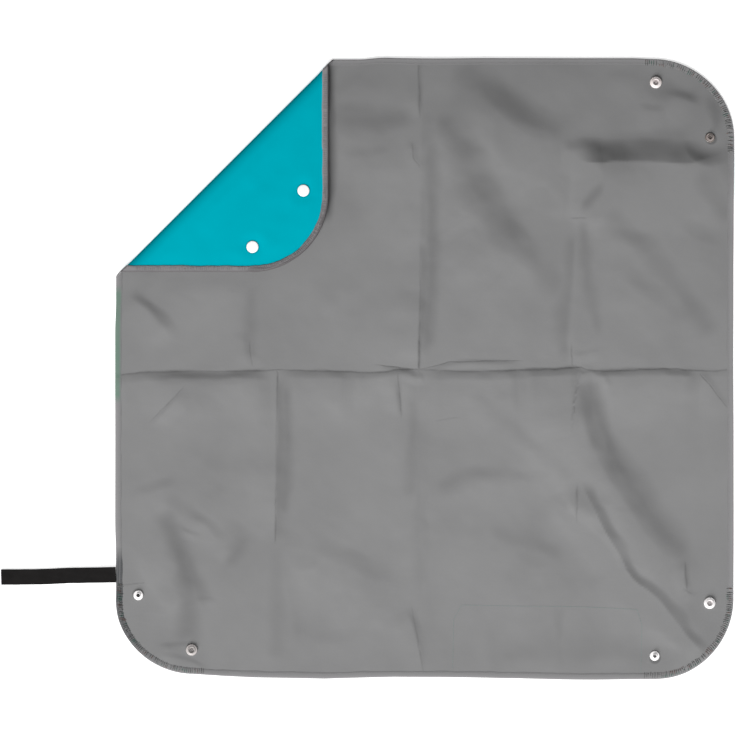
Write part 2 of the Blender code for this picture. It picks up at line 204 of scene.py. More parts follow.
# points, height, steep side, gentle side, sharpness
CREASES = [
    # across the middle, where the mat folds in half
    ([(108, 374), (150, 370), (200, 369), (240, 369), (272, 369)], -2.65, 12, 90, 0.7),
    ([(150, 373), (225, 374), (256, 371)], -0.9, 14, 50, 0.5),
    ([(280, 368), (320, 369), (356, 371)], -1.8, 12, 80, 0.8),
    ([(345, 371), (380, 372), (396, 368), (418, 369)], -1.5, 9, 60, 0.9),
    ([(378, 364), (398, 367), (417, 369)], -0.7, 6, 30, 0.9),
    ([(424, 369), (450, 371), (490, 370), (525, 369)], -2.1, 12, 80, 0.8),
    ([(515, 369), (545, 367), (575, 365), (584, 367)], -2.6, 12, 80, 0.6),
    ([(428, 367), (448, 361), (470, 359), (520, 360)], -0.8, 6, 30, 0.9),
    ([(590, 369), (640, 368), (668, 367), (700, 370)], -2.4, 10, 80, 0.9),
    ([(695, 370), (740, 369)], -1.3, 9, 60, 0.9),
    ([(696, 371), (708, 383), (718, 397), (730, 411)], 1.6, 8, 40, 0.9),
    # crumpled where the folds cross
    ([(566, 352), (576, 356), (590, 352), (604, 349)], 0.4, 8, 14, 0.5),
    ([(574, 370), (582, 374), (590, 371), (600, 376)], 0.6, 7, 14, 0.6),
    ([(598, 372), (604, 378), (607, 388)], 0.4, 7, 12, 0.6),
    ([(408, 374), (416, 378), (424, 377)], 0.9, 8, 12, 0.5),
    ([(244, 352), (254, 355), (266, 364)], 0.35, 8, 14, 0.5),
    # from front to back
    ([(419, 48), (419, 118)], 0.9, 7, 30, 0.8),
    ([(408, 143), (412, 150), (413, 160), (418, 166)], 0.45, 7, 14, 0.6),
    ([(419, 175), (420, 240), (419, 290)], 1.7, 24, 60, 0.2),
    ([(419, 290), (420, 335), (419, 370)], 1.9, 14, 60, 0.8),
    ([(397, 374), (399, 396), (402, 416)], -0.9, 6, 20, 0.9),
    ([(419, 420), (419, 520), (419, 600)], 0.7, 14, 40, 0.4),
    ([(404, 608), (413, 626), (418, 650), (424, 672)], 1.3, 12, 40, 0.6),
    ([(276, 372), (277, 430), (276, 500), (275, 541)], 1.9, 24, 70, 0.4),
    ([(592, 182), (588, 196), (578, 218)], 0.8, 11, 30, 0.4),
    ([(578, 222), (576, 270), (572, 330), (570, 364)], 1.2, 20, 60, 0.2),
    ([(576, 484), (576, 500), (577, 522)], 0.5, 5, 14, 0.8),
    # wrinkles of the far right quarter
    ([(570, 160), (592, 162), (612, 162), (650, 161), (690, 163), (706, 157), (738, 146)], 10.6, 31, 100, 0.55),
    ([(602, 138), (626, 144), (664, 142), (704, 132)], 1.7, 19, 50, 0.3),
    ([(446, 62), (474, 90), (502, 120), (530, 140), (580, 148)], 4.9, 48, 110, 0.0),
    ([(560, 150), (580, 150), (600, 146)], 1.4, 16, 40, 0.2),
    ([(434, 98), (446, 130), (460, 170), (482, 214), (512, 248), (556, 282)], 4.8, 42, 110, 0.0),
    ([(650, 92), (676, 96), (704, 106)], 2.2, 15, 40, 0.2),
    ([(636, 108), (650, 112), (664, 110)], 1.0, 12, 30, 0.2),
    ([(664, 206), (682, 232), (704, 244), (738, 250)], 1.5, 24, 80, 0.35),
    ([(592, 236), (622, 244), (656, 256)], 1.2, 30, 60, 0.1),
    ([(604, 262), (640, 296), (690, 330)], 1.3, 26, 60, 0.1),
    ([(520, 62), (560, 74), (600, 84)], 1.6, 24, 60, 0.1),
    ([(604, 80), (630, 78), (650, 72)], 1.0, 16, 40, 0.1),
    # near right quarter
    ([(574, 366), (579, 400), (586, 436), (600, 468), (620, 496), (640, 528), (660, 552), (682, 564), (712, 570)], 5.0, 36, 110, 0.15),
    ([(683, 560), (684, 576), (688, 592)], 1.2, 7, 20, 0.8),
    ([(686, 590), (694, 594), (700, 595)], 0.8, 6, 14, 0.7),
    ([(580, 482), (592, 508), (606, 534), (620, 556), (630, 578), (654, 592), (672, 614), (690, 638), (710, 660)], 3.6, 15, 80, 0.65),
    ([(582, 534), (592, 538), (600, 546)], 0.3, 8, 14, 0.3),
    ([(432, 504), (443, 490), (463, 480), (490, 476), (520, 480), (548, 488)], 0.6, 20, 50, 0.1),
    ([(480, 520), (530, 540), (572, 574)], 0.7, 30, 50, 0.1),
    ([(640, 636), (664, 642), (688, 640)], 0.7, 12, 20, 0.2),
    # near left quarter
    ([(122, 496), (152, 494), (184, 480)], 1.3, 16, 50, 0.2),
    ([(152, 506), (165, 528), (175, 560), (180, 612), (172, 652)], 3.8, 40, 80, 0.05),
    ([(180, 527), (192, 534), (202, 537)], 0.4, 6, 12, 0.8),
    ([(186, 516), (202, 522), (222, 545)], 1.0, 15, 30, 0.2),
    ([(251, 530), (238, 546), (228, 566)], -0.7, 9, 24, 0.4),
    ([(154, 651), (172, 651), (196, 652), (206, 652)], 2.2, 9, 30, 0.5),
    ([(158, 657), (180, 660), (206, 669)], 1.2, 7, 14, 0.5),
    ([(122, 587), (132, 586), (145, 583)], 0.8, 5, 14, 0.7),
    ([(272, 544), (316, 556), (348, 568), (372, 582), (392, 589), (424, 588)], 1.6, 32, 90, 0.0),
    ([(150, 423), (166, 405), (184, 386)], -0.8, 5, 20, 0.8),
    ([(196, 602), (208, 600), (216, 602)], 0.6, 6, 14, 0.4),
    ([(286, 640), (330, 644), (380, 640)], 0.7, 24, 40, 0.1),
    # far left quarter
    ([(118, 290), (150, 312), (168, 332), (176, 346)], 2.0, 16, 50, 0.2),
    ([(330, 142), (362, 142), (396, 138)], 1.2, 34, 60, 0.0),
    ([(338, 78), (356, 88), (376, 90), (398, 82)], 0.6, 20, 30, 0.1),
    ([(340, 172), (372, 170), (410, 172)], 0.8, 22, 50, 0.1),
    ([(250, 330), (251, 352), (252, 366)], -0.8, 8, 24, 0.4),
]
# painted shade along the creases, in the hollows and beside the folded corner: points, depth, mm towards the far edge
# and the right, mm on the other side
PAINTED_SHADE_LINES = [
    ([(112, 373), (150, 372), (200, 372), (245, 370), (275, 369)], 0.08, 4, 7),
    ([(278, 369), (330, 371), (380, 372), (418, 369)], 0.07, 3, 5),
    ([(424, 369), (470, 371), (530, 369), (575, 366)], 0.10, 3, 5),
    ([(590, 369), (660, 368), (738, 369)], 0.06, 3, 4),
    ([(419, 58), (419, 118)], 0.12, 4, 3),
    ([(423, 110), (424, 180), (422, 250)], 0.07, 26, 7),
    ([(420, 236), (421, 290), (419, 340)], 0.13, 26, 3),
    ([(419, 330), (419, 370)], 0.22, 5, 3),
    ([(399, 372), (401, 416)], 0.13, 4, 5),
    ([(417, 420), (418, 600)], 0.05, 6, 12),
    ([(277, 376), (278, 420), (277, 500), (276, 541)], 0.17, 24, 2),
    ([(286, 380), (287, 420), (286, 470), (281, 520)], 0.15, 13, 12),
    ([(276, 545), (278, 600), (276, 660)], 0.08, 20, 16),
    ([(411, 392), (413, 440), (409, 500)], 0.10, 12, 12),
    ([(429, 140), (432, 220), (430, 290), (428, 350)], 0.16, 17, 13),
    ([(412, 612), (418, 640), (424, 672)], 0.08, 6, 3),
    ([(572, 232), (568, 290), (562, 330), (566, 362)], 0.14, 9, 22),
    ([(582, 380), (586, 420), (596, 452)], 0.15, 20, 12),
    ([(576, 486), (576, 522)], 0.10, 3, 3),
    ([(272, 546), (290, 580), (300, 640)], 0.05, 18, 10),
    ([(160, 508), (178, 545), (189, 590), (187, 646)], 0.19, 22, 20),
    ([(182, 550), (195, 580), (205, 608)], 0.15, 16, 16),
    ([(160, 496), (188, 508), (206, 530)], 0.10, 14, 14),
    ([(248, 530), (236, 548), (226, 570)], 0.12, 16, 14),
    ([(322, 119), (364, 120), (414, 118)], 0.17, 26, 24),
    ([(332, 110), (352, 113), (388, 115)], 0.14, 20, 20),
    ([(342, 152), (366, 152), (392, 150)], 0.09, 16, 16),
    ([(130, 292), (150, 303), (168, 328)], 0.11, 20, 10),
    ([(252, 284), (250, 320), (250, 364)], 0.10, 11, 12),
    # painted shadow cast by the folded corner's right edge onto the cloth
    ([(329, 60), (330, 120), (330, 190), (326, 224)], 0.42, 11, 3),
    ([(708, 90), (714, 110), (716, 132)], 0.17, 16, 14),
    ([(156, 647), (180, 644), (204, 646)], 0.15, 6, 5),
    ([(170, 655), (190, 660), (210, 669)], 0.13, 5, 5),
    ([(249, 528), (239, 546), (225, 572)], 0.10, 8, 6),
    ([(640, 82), (664, 90), (700, 96)], 0.17, 20, 18),
    ([(452, 66), (476, 84), (502, 104), (528, 122), (566, 133)], 0.10, 24, 18),
    ([(440, 112), (460, 160), (477, 206), (506, 242), (543, 268), (564, 294)], 0.15, 24, 24),
    ([(602, 180), (592, 196), (580, 214)], 0.20, 10, 10),
    ([(582, 216), (584, 260), (591, 300), (598, 336)], 0.11, 14, 12),
    ([(602, 212), (636, 234), (662, 268), (690, 302), (712, 338)], 0.13, 24, 24),
    ([(694, 170), (712, 200), (734, 222)], 0.13, 26, 20),
    ([(572, 138), (610, 145), (690, 140)], 0.09, 18, 12),
    ([(600, 78), (640, 76), (672, 84)], 0.05, 16, 14),
    ([(588, 376), (599, 420), (617, 456), (642, 487), (662, 520), (688, 554)], 0.14, 20, 18),
    ([(438, 496), (450, 483), (478, 473), (510, 474)], 0.09, 16, 18),
    ([(488, 528), (530, 545), (568, 552)], 0.09, 14, 14),
    ([(470, 390), (510, 425), (545, 455), (572, 480)], 0.08, 14, 14),
    ([(560, 604), (558, 640), (562, 668)], 0.09, 10, 16),
    ([(480, 652), (560, 650), (625, 648), (690, 654)], 0.08, 46, 24),
    ([(684, 562), (685, 588)], 0.10, 3, 3),
]

lift = np.zeros_like(GX)
for number, (points, *numbers) in enumerate(CREASES):
    add_crease(lift, points, *numbers, seed=number)
lift += 0.00085 * waves(GX, GY, 0.105, 21, 1.5, -0.8)
lift += 0.00030 * waves(GX, GY, 0.048, 22, 1.4, -0.7)
lift += 0.00010 * waves(GX, GY, 0.023, 23, 1.5, 0.5)
lift += 0.00003 * waves(GX, GY, 0.0105, 24, 1.4, -0.6)
# painted shade, laid into the colour along the lines below
painted_shade_and_mottle = np.zeros_like(GX)
for number, (points, *numbers) in enumerate(PAINTED_SHADE_LINES):
    add_painted_shade(painted_shade_and_mottle, points, *numbers, seed=number)


def fastener_spots():
    for corner in CORNERS:
        yield corner, "socket", SOCKET_AT[corner]
        yield corner, "stud", STUD_AT[corner]


level = np.ones_like(GX)
for _, _, (fx, fy) in fastener_spots():
    level *= smooth((np.hypot(GX - fx, GY - fy) - 0.008) / 0.030)
level *= smooth((np.hypot(GX + A, GY - SEAM_Y) - 0.014) / 0.030)
inward = A - np.maximum(np.abs(GX), np.abs(GY))
level *= 0.42 + 0.58 * smooth(inward / 0.075)
corner_sum = np.abs(GX) + np.abs(GY)
level *= 1 - 0.30 * smooth((corner_sum - 0.46) / 0.10)
roll_side = (GX < 0) & (GY > 0)
level = np.where(roll_side, level * smooth((0.4900 - corner_sum) / 0.035), level)
lift = 0.0006 * np.logaddexp(0, (lift - np.quantile(lift, 0.12)) / 0.0006) * level
# under the folded corner the cloth is pressed flat
mx, my = np.abs(GY - K), np.abs(GX + K)
depth = np.minimum(A - mx, A - my)
depth = np.where(
    (mx > A - R) & (my > A - R),
    R - np.hypot(mx - (A - R), my - (A - R)),
    depth,
)
under = np.where(roll_side, smooth((depth + 0.030) / 0.030), 0.0)
lift = lift * (1 - under) + 0.0019 * (1 - np.exp(-lift / 0.0019)) * under
# a corner folds over onto the cloth inside its fold line, so the two together don't stand higher than the fold leaves room for
ROOM = 0.0031
steep_lift = lift
for sx, sy in ((1, 1), (-1, -1), (1, -1)):
    ax, ay = np.clip(K - np.abs(GY), 0, A), np.clip(K - np.abs(GX), 0, A)
    u, v = (sx * ax + A) / CELL, (sy * ay + A) / CELL
    i, j = np.clip(u.astype(int), 0, SIDE_N - 2), np.clip(v.astype(int), 0, SIDE_N - 2)
    facing = np.maximum.reduce([lift[i, j], lift[i + 1, j], lift[i, j + 1], lift[i + 1, j + 1]])
    both = (lift + facing) * smooth((np.abs(GX) + 0.07 - (K - A)) / 0.07) * smooth((np.abs(GY) + 0.07 - (K - A)) / 0.07)
    fits = (1 + (both / ROOM) ** 5) ** -0.2
    lift = np.where((GX * sx > 0) & (GY * sy > 0), lift * fits, lift)
# and where a press fastener of the folded corner comes down, or the loop, it is nearly flat
for corner, _, (fx, fy) in fastener_spots():
    sx, sy = CORNERS[corner]
    down = np.hypot(GX - sx * (K - abs(fy)), GY - sy * (K - abs(fx)))
    lift = np.where(down < 0.06, lift * (0.06 + 0.94 * smooth((down - 0.0085) / 0.034)), lift)
for across_loop, before, after, most in (
    (GY - SEAM_Y - 0.0236 * (GX + A), -GX - A, GX + A - 0.152, 0.0007),
    (GX + K + SEAM_Y, GY + (K - A) - 0.004, -GY - (K - A) - 0.152, 0.0004),
):
    strip = smooth((0.046 - np.abs(across_loop)) / 0.034) * smooth((0.035 - before) / 0.03) * smooth((0.035 - after) / 0.03)
    strip = np.where((GX < 0) & (GY < 0), strip, 0.0)
    lift = lift * (1 - strip) + most * (1 - np.exp(-lift / most)) * strip
# where a crease is kept low, the shade its lost slope would have had under the key light is painted into the colour
# instead, over an even offset
away_x, away_y = np.gradient(steep_lift - lift, CELL)
painted_shade_and_mottle = painted_shade_and_mottle + 0.05 - 1.6 * np.clip(0.36 * away_x + 0.93 * away_y, -0.6, 0.05)
# plus a faint random unevenness of colour
painted_shade_and_mottle += 0.020 * waves(GX, GY, 0.060, 25, 1.5, -0.8) + 0.010 * waves(GX, GY, 0.026, 26, 1.4, 0.7)
painted_shade_and_mottle += 0.006 * waves(GX, GY, 0.012, 27, 1.5, -0.8)
painted_shade_and_mottle = np.clip(painted_shade_and_mottle, 0.0, 0.65)
# painted shade on the backing along the rolled fold, where the roll turns away from the light
fold_away = (GY - GX - K) / math.sqrt(2)
back_painted_shade = roll_side * np.interp(
    fold_away,
    [-0.014, -0.006, 0.0, 0.0052, 0.0065, 0.0080, 0.0090, 0.0105, 0.0120, 0.0145, 0.0190],
    [0.0, 0.20, 0.46, 0.48, 0.42, 0.37, 0.30, 0.22, 0.15, 0.09, 0.0],
)

# The folded corner lies flatter. Its hollow edge leaves the middle a little proud.
puff = 0.00040 + 0.00018 * waves(GX, GY, 0.05, 31, 1.4, -0.8)
puff += 0.00010 * waves(GX, GY, 0.02, 32)
puff = puff.clip(0.0, 0.00085)
puff *= smooth((inward - 0.007) / 0.022)
arc_in = np.where(
    (np.abs(GX) > A - R) & (np.abs(GY) > A - R),
    R - np.hypot(np.abs(GX) - (A - R), np.abs(GY) - (A - R)),
    1.0,
)
puff *= smooth((arc_in - 0.007) / 0.022) * smooth((corner_sum - ROLL_OUT) / 0.02)
for corner, _, (fx, fy) in fastener_spots():
    if corner == "far_left":
        puff *= smooth((np.hypot(GX - fx, GY - fy) - 0.006) / 0.016)


def sampled(field):
    gx, gy = np.gradient(field, CELL)
    return field, gx, gy


LIFT, PUFF = sampled(lift), sampled(puff)
PAINTED_SHADE_FIELDS = [painted_shade_and_mottle, back_painted_shade]


def look_up(fields, x, y):
    """The field and its two slopes at points, in between the grid's."""
    u = np.clip((x + A) / CELL, 0, SIDE_N - 1.001)
    v = np.clip((y + A) / CELL, 0, SIDE_N - 1.001)
    i, j = u.astype(int), v.astype(int)
    a, b = u - i, v - j
    return [
        (f[i, j] * (1 - a) + f[i + 1, j] * a) * (1 - b)
        + (f[i, j + 1] * (1 - a) + f[i + 1, j + 1] * a) * b
        for f in fields
    ]


ROLL_S = (ROLL_IN - K) / math.sqrt(2), (ROLL_OUT - K) / math.sqrt(2)


def roll(s, hem):
    """Where a point s beyond the fold line comes to lie, as a distance beyond that line and a height. hem is 1 where the edge tape makes the fold sharp."""
    beyond = s >= 0
    span = np.where(beyond, ROLL_S[1], -ROLL_S[0])
    t = np.clip(np.abs(s) / span, 0, 1)
    bezier = 3 * 0.0052 * t**2 * (1 - t) + (span + TIP) * t**3
    bezier = np.where(t < 1, bezier, np.abs(s) + TIP)
    square = np.maximum(np.abs(s) + TIP, 0.0)
    run = bezier * (1 - hem) + square * hem
    near = np.clip(run / 0.0012, 0, 1)
    swell = 0.00115 * np.sqrt(1 - (1 - near) ** 2) + 0.00195 * (1 - (1 - np.clip(run / 0.016, 0, 1)) ** 2.2)
    swell -= 0.00075 * smooth((run - 0.0150) / 0.035)
    low = 0.00235 * (1 - (1 - t) ** 3)
    flat_fold = 0.00235 * smooth(np.abs(s) / 0.0050)
    rise = np.where(beyond, swell, low) * (1 - hem) + flat_fold * hem
    return TIP - run, AXIS_Z + np.where(beyond, rise, -rise)


def place(flat, off, folded=False):
    """Where a point of the flat mat lies, off above its middle surface on the grey side, and the grey side's direction there.
    folded says that it is a point of the far left corner, which rolls over at its fold line."""
    flat = np.asarray(flat, float)
    off = np.broadcast_to(np.asarray(off, float), flat.shape[:1])
    x, y = flat[:, 0], flat[:, 1]
    h, hx, hy = look_up(LIFT, x, y)
    n = np.stack([-hx, -hy, np.ones_like(hx)], 1)
    n /= np.linalg.norm(n, axis=1)[:, None]
    # the outline isn't quite straight
    free = smooth((0.485 - (y - x)) / 0.04)
    free = free * smooth((np.hypot(x + A, y - SEAM_Y) - 0.02) / 0.05)
    sway_x = 0.0004 * waves(x, y, 0.10, 41) * free
    sway_x += np.where(x < 0, 0.0012 * x / A, 0.0008 * x / A) * free
    sway_y = 0.0004 * waves(x, y, 0.10, 42) * free
    # it stands out a little at the far edge, and more along the near one
    near_out = np.interp(
        x,
        [-0.40, -0.34, -0.30, -0.26, -0.22, -0.13, -0.04, 0.02, 0.10, 0.20, 0.29, 0.34, 0.40],
        [-0.0050, -0.0046, -0.0040, -0.0014, 0.0006, 0.0020, -0.0006, -0.0004, 0.0020, 0.0030, 0.0036, 0.0028, -0.0010],
    )
    far_out = np.interp(
        x, [-0.40, -0.12, -0.02, 0.10, 0.27, 0.32, 0.36, 0.40], [0.0020, 0.0022, 0.0022, 0.0013, 0.0013, -0.0006, -0.0022, -0.0030]
    )
    sway_y += far_out * np.clip(y / A, 0, 1) ** 3 * free
    sway_y -= (near_out + 0.0009) * np.clip(-y / A, 0, 1) ** 3
    p = np.stack([x + sway_x, y + sway_y, MID + h], 1) + n * off[:, None]
    if folded:
        out = np.array([-1.0, 1.0]) / math.sqrt(2)
        s = (y - x - K) / math.sqrt(2)
        hem = smooth((0.022 - np.minimum(A - np.abs(x), A - np.abs(y))) / 0.012)
        new_s, z = roll(s, hem)
        s1, z1 = roll(s + 1e-5, hem)
        s2, z2 = roll(s - 1e-5, hem)
        ts, tz = s1 - s2, z1 - z2
        size = np.maximum(np.hypot(ts, tz), 1e-12)
        ns, nz = -tz / size, ts / size
        e, ex, ey = look_up(PUFF, x, y)
        beyond = s >= 0
        z = z + np.where(beyond, e, 0)
        ex, ey = np.where(beyond, ex, 0), np.where(beyond, ey, 0)
        up = np.stack([ns * out[0] + ey, ns * out[1] + ex, nz], 1)
        up /= np.linalg.norm(up, axis=1)[:, None]
        q = np.stack([x + (new_s - s) * out[0], y + (new_s - s) * out[1], z], 1)
        q += up * off[:, None]
        lower = s > ROLL_S[0]
        p = np.where(lower[:, None], q, p)
        n = np.where(lower[:, None], up, n)
    p[:, 0] += MAT_X
    return p, n


# ---------------------------------------------------------------- meshes


def make(name, verts, faces, materials, face_material=None, normals=None, data=None):
    mesh = bpy.data.meshes.new(name)
    mesh.from_pydata(
        [tuple(v) for v in np.asarray(verts, float).tolist()],
        [],
        faces if isinstance(faces, list) else faces.tolist(),
    )
    for mat in materials:
        mesh.materials.append(mat)
    mesh.polygons.foreach_set("use_smooth", np.ones(len(mesh.polygons), bool))
    if face_material is not None:
        mesh.polygons.foreach_set(
            "material_index", np.asarray(face_material, np.int32)
        )
    for key, values in (data or {}).items():
        values = np.asarray(values, np.float32)
        kind = "FLOAT" if values.ndim == 1 else "FLOAT_VECTOR"
        attribute = mesh.attributes.new(key, kind, "POINT")
        attribute.data.foreach_set(
            "value" if values.ndim == 1 else "vector", values.ravel()
        )
    mesh.update()
    if normals is not None:
        mesh.normals_split_custom_set(normals.astype(np.float32))
    ob = bpy.data.objects.new(name, mesh)
    bpy.context.scene.collection.objects.link(ob)
    return ob


def inside(points, inset):
    """Which flat points lie within the mat's outline, inset from its edge."""
    x, y = np.abs(points[..., 0]), np.abs(points[..., 1])
    ok = (x <= A - inset + 1e-7) & (y <= A - inset + 1e-7)
    round_ = (x > A - R) & (y > A - R)
    return ok & (~round_ | (np.hypot(x - (A - R), y - (A - R)) <= R - inset))


cells = np.arange(-160, 160)
CI, CJ = [c.ravel() for c in np.meshgrid(cells, cells, indexing="ij")]


def grid_triangles():
    """The flat square in triangles, whose diagonals run along the fold lines of the corners."""
    p = [np.stack([(CI + a) * G, (CJ + b) * G], 1) for a, b in ((0, 0), (1, 0), (1, 1), (0, 1))]
    same = ((CI + 0.5) * (CJ + 0.5) > 0)[:, None, None]
    one = np.where(same, np.stack([p[0], p[1], p[3]], 1), np.stack([p[0], p[1], p[2]], 1))
    two = np.where(same, np.stack([p[1], p[2], p[3]], 1), np.stack([p[0], p[2], p[3]], 1))
    return np.concatenate([one, two])


ALL = grid_triangles()
MIDS = ALL.mean(1)
ALL_IN = inside(ALL, 0.0018).all(1)
SUMS = np.abs(MIDS).sum(1)


def lattice(first, second, keep_inset=0.0018):
    """Triangles between rows of points: first[i], second[i] and so on are rows of the same length."""
    rows = [first, *second]
    made = []
    for a, b in zip(rows, rows[1:]):
        made.append(np.stack([a[:-1], a[1:], b[1:]], 1))
        made.append(np.stack([a[:-1], b[1:], b[:-1]], 1))
    made = np.concatenate(made)
    return made[inside(made, keep_inset).all(1)]


def facing_up(tri):
    a, b, c = tri[:, 0], tri[:, 1], tri[:, 2]
    area = (b[:, 0] - a[:, 0]) * (c[:, 1] - a[:, 1]) - (b[:, 1] - a[:, 1]) * (
        c[:, 0] - a[:, 0]
    )
    turned = tri.copy()
    turned[area < 0] = tri[area < 0][:, ::-1]
    return turned


def corner_strip(sx, sy, low, high, shares):
    """The bend of a corner in fine rows along its fold line, from |x| + |y| = low to high."""
    t = np.arange(40, 161) * G
    rows = []
    for u in shares:
        more = (high - low) * u / 2
        rows.append(np.stack([sx * (t + more), sy * (low - t + more)], 1))
    return facing_up(lattice(rows[0], rows[1:]))


# A rectangle sewn through the backing shows its thread: its left, far and right sides.
SEAM = np.array([photo(452, 668), photo(453, 618), photo(461, 604), (0.0, 0.0), photo(636, 607), photo(641, 622), photo(640, 670)])
SEAM[3] = photo(560, 605)


def seam_stitches(keep):
    """Short threads along the seam, on the grey side, where keep says so: (points, faces)."""
    r = np.random.default_rng(77)
    steps = np.r_[0, np.cumsum(np.hypot(*np.diff(SEAM, axis=0).T))]
    starts = np.arange(0.001, steps[-1] - 0.003, 0.0034)
    starts = starts + r.normal(0, 0.00015, len(starts))
    verts, faces = [], []
    for start in starts:
        t = np.linspace(start, start + 0.0024, 6)
        line_ = np.stack([np.interp(t, steps, SEAM[:, 0]), np.interp(t, steps, SEAM[:, 1])], 1)
        if not keep(line_.mean(0)):
            continue
        d = line_[-1] - line_[0]
        d /= np.linalg.norm(d)
        cross = np.array([-d[1], d[0]])
        arch = np.sin(np.linspace(0, math.pi, 6)) ** 0.5
        thick = 0.00022 * (0.35 + 0.65 * arch)
        turn = 2 * math.pi * np.arange(6) / 6
        flat = line_[:, None] + cross * (np.cos(turn)[None, :, None] * thick[:, None, None])
        off = (HALF_T + 0.00008 * arch - 0.00022 * (1 - arch))[:, None] + np.sin(turn) * thick[:, None]
        base = sum(len(v) for v in verts)
        verts.append(place(flat.reshape(-1, 2), off.ravel())[0])
        for i in range(5):
            for j in range(6):
                a, b = i * 6 + j, i * 6 + (j + 1) % 6
                faces.append([base + a, base + b, base + b + 6, base + a + 6])
        faces.append([base + j for j in range(6)][::-1])
        faces.append([base + 30 + j for j in range(6)])
    return verts, faces


def cloth(name, triangles, folded=False, seam=None):
    """A closed sheet from flat triangles: grey above, teal below, with a rim between."""
    flat = triangles.reshape(-1, 2)
    _, first, index = np.unique(
        np.round(flat * 1e6).astype(np.int64), axis=0, return_index=True, return_inverse=True
    )
    flat, tri = flat[first], index.reshape(-1, 3)
    n = len(flat)
    top, up = place(flat, HALF_T, folded)
    low, _ = place(flat, -HALF_T, folded)
    ends = np.concatenate([tri[:, [0, 1]], tri[:, [1, 2]], tri[:, [2, 0]]])
    key = np.sort(ends, 1)
    _, where, count = np.unique(key, axis=0, return_inverse=True, return_counts=True)
    rim = ends[count[where.reshape(-1)] == 1]
    a, b = rim[:, 0], rim[:, 1]
    rim_tri = np.concatenate([np.stack([b, a, a + n], 1), np.stack([b, a + n, b + n], 1)])
    faces = np.concatenate([tri, tri[:, ::-1] + n, rim_tri])
    verts = np.concatenate([top, low])
    corner_n = np.concatenate([up[tri], -up[tri[:, ::-1]]])
    v = verts[rim_tri]
    rn = np.cross(v[:, 1] - v[:, 0], v[:, 2] - v[:, 0])
    rn /= np.maximum(np.linalg.norm(rn, axis=1), 1e-12)[:, None]
    corner_n = np.concatenate([corner_n, np.repeat(rn[:, None], 3, 1)])
    which = np.concatenate([np.zeros(len(tri)), np.ones(len(tri)), np.zeros(len(rim_tri))])
    spot = np.column_stack([np.concatenate([flat, flat]), np.r_[np.ones(n), np.zeros(n)]])
    # painted shade of the face and of the backing at each point
    tone_shift, shade_on_back = look_up(PAINTED_SHADE_FIELDS, flat[:, 0], flat[:, 1])
    painted_shade_values = np.concatenate([tone_shift, shade_on_back])
    corner_n = corner_n.reshape(-1, 3)
    faces = faces.tolist()
    if seam:
        extra, quads = seam_stitches(seam)
        extra = np.concatenate(extra)
        faces += [[i + 2 * n for i in quad] for quad in quads]
        which = np.concatenate([which, np.full(len(quads), 2.0)])
        made = np.concatenate([verts, extra])
        more = []
        for quad in quads:
            q = extra[quad]
            across_ = np.cross(q[1] - q[0], q[2] - q[0])
            more += [across_ / max(np.linalg.norm(across_), 1e-12)] * len(quad)
        corner_n = np.concatenate([corner_n, np.array(more)])
        verts = made
        spot = np.concatenate([spot, np.column_stack([extra[:, :2], np.ones(len(extra))])])
        painted_shade_values = np.concatenate([painted_shade_values, np.zeros(len(extra))])
    ob = make(
        name,
        verts,
        faces,
        [GREY_FACE, TEAL_BACK, SEAM_THREAD],
        which,
        corner_n,
        {"cloth_place": spot, "cloth_painted_shade": painted_shade_values},
    )
    a3 = np.column_stack([flat, np.zeros(n)])[tri]
    area = float(
        np.linalg.norm(np.cross(a3[:, 1] - a3[:, 0], a3[:, 2] - a3[:, 0]), axis=1).sum() / 2
    )
    return ob, area


# The edge, as one run round the mat, from the middle of the left edge towards the near edge.
ARC = math.pi / 2 * R
RUN = [0.3]
for _ in range(3):
    RUN += [RUN[-1] + ARC, RUN[-1] + ARC + 0.6]
RUN += [RUN[-1] + ARC]
AROUND = RUN[-1] + 0.3
SIDES = [  # start of each straight, its direction and its inward side
    ((-0.4, 0.3), (0, -1), (1, 0)),
    ((-0.3, -0.4), (1, 0), (0, 1)),
    ((0.4, -0.3), (0, 1), (-1, 0)),
    ((0.3, 0.4), (-1, 0), (0, -1)),
]
CENTRES = [((-0.3, -0.3), math.pi), ((0.3, -0.3), 1.5 * math.pi), ((0.3, 0.3), 0.0), ((-0.3, 0.3), 0.5 * math.pi)]


def edge(run, deep):
    """The flat point deep inside the edge at each distance run along it, and the direction along the edge there."""
    run, deep = np.broadcast_arrays(np.asarray(run, float), np.asarray(deep, float))
    run = (run + 0.3) % AROUND  # from the top of the left straight
    piece = 0.6 + ARC
    which = np.minimum((run / piece).astype(int), 3)
    rest = run - which * piece
    start = np.array([s[0] for s in SIDES])[which]
    going = np.array([s[1] for s in SIDES], float)[which]
    inwards = np.array([s[2] for s in SIDES], float)[which]
    centre = np.array([c[0] for c in CENTRES])[which]
    turn = np.array([c[1] for c in CENTRES])[which] + np.maximum(rest - 0.6, 0) / R
    spoke = np.stack([np.cos(turn), np.sin(turn)], -1)
    ahead = np.stack([-np.sin(turn), np.cos(turn)], -1)
    on_arc = (rest > 0.6)[..., None]
    p = np.where(
        on_arc,
        centre + spoke * (R - deep)[..., None],
        start + going * rest[..., None] + inwards * deep[..., None],
    )
    return p, np.where(on_arc, ahead, going)


def run_at(side, rest):
    """Distance along the edge of a place on straight number side, rest from its start."""
    return side * (0.6 + ARC) + rest - 0.3


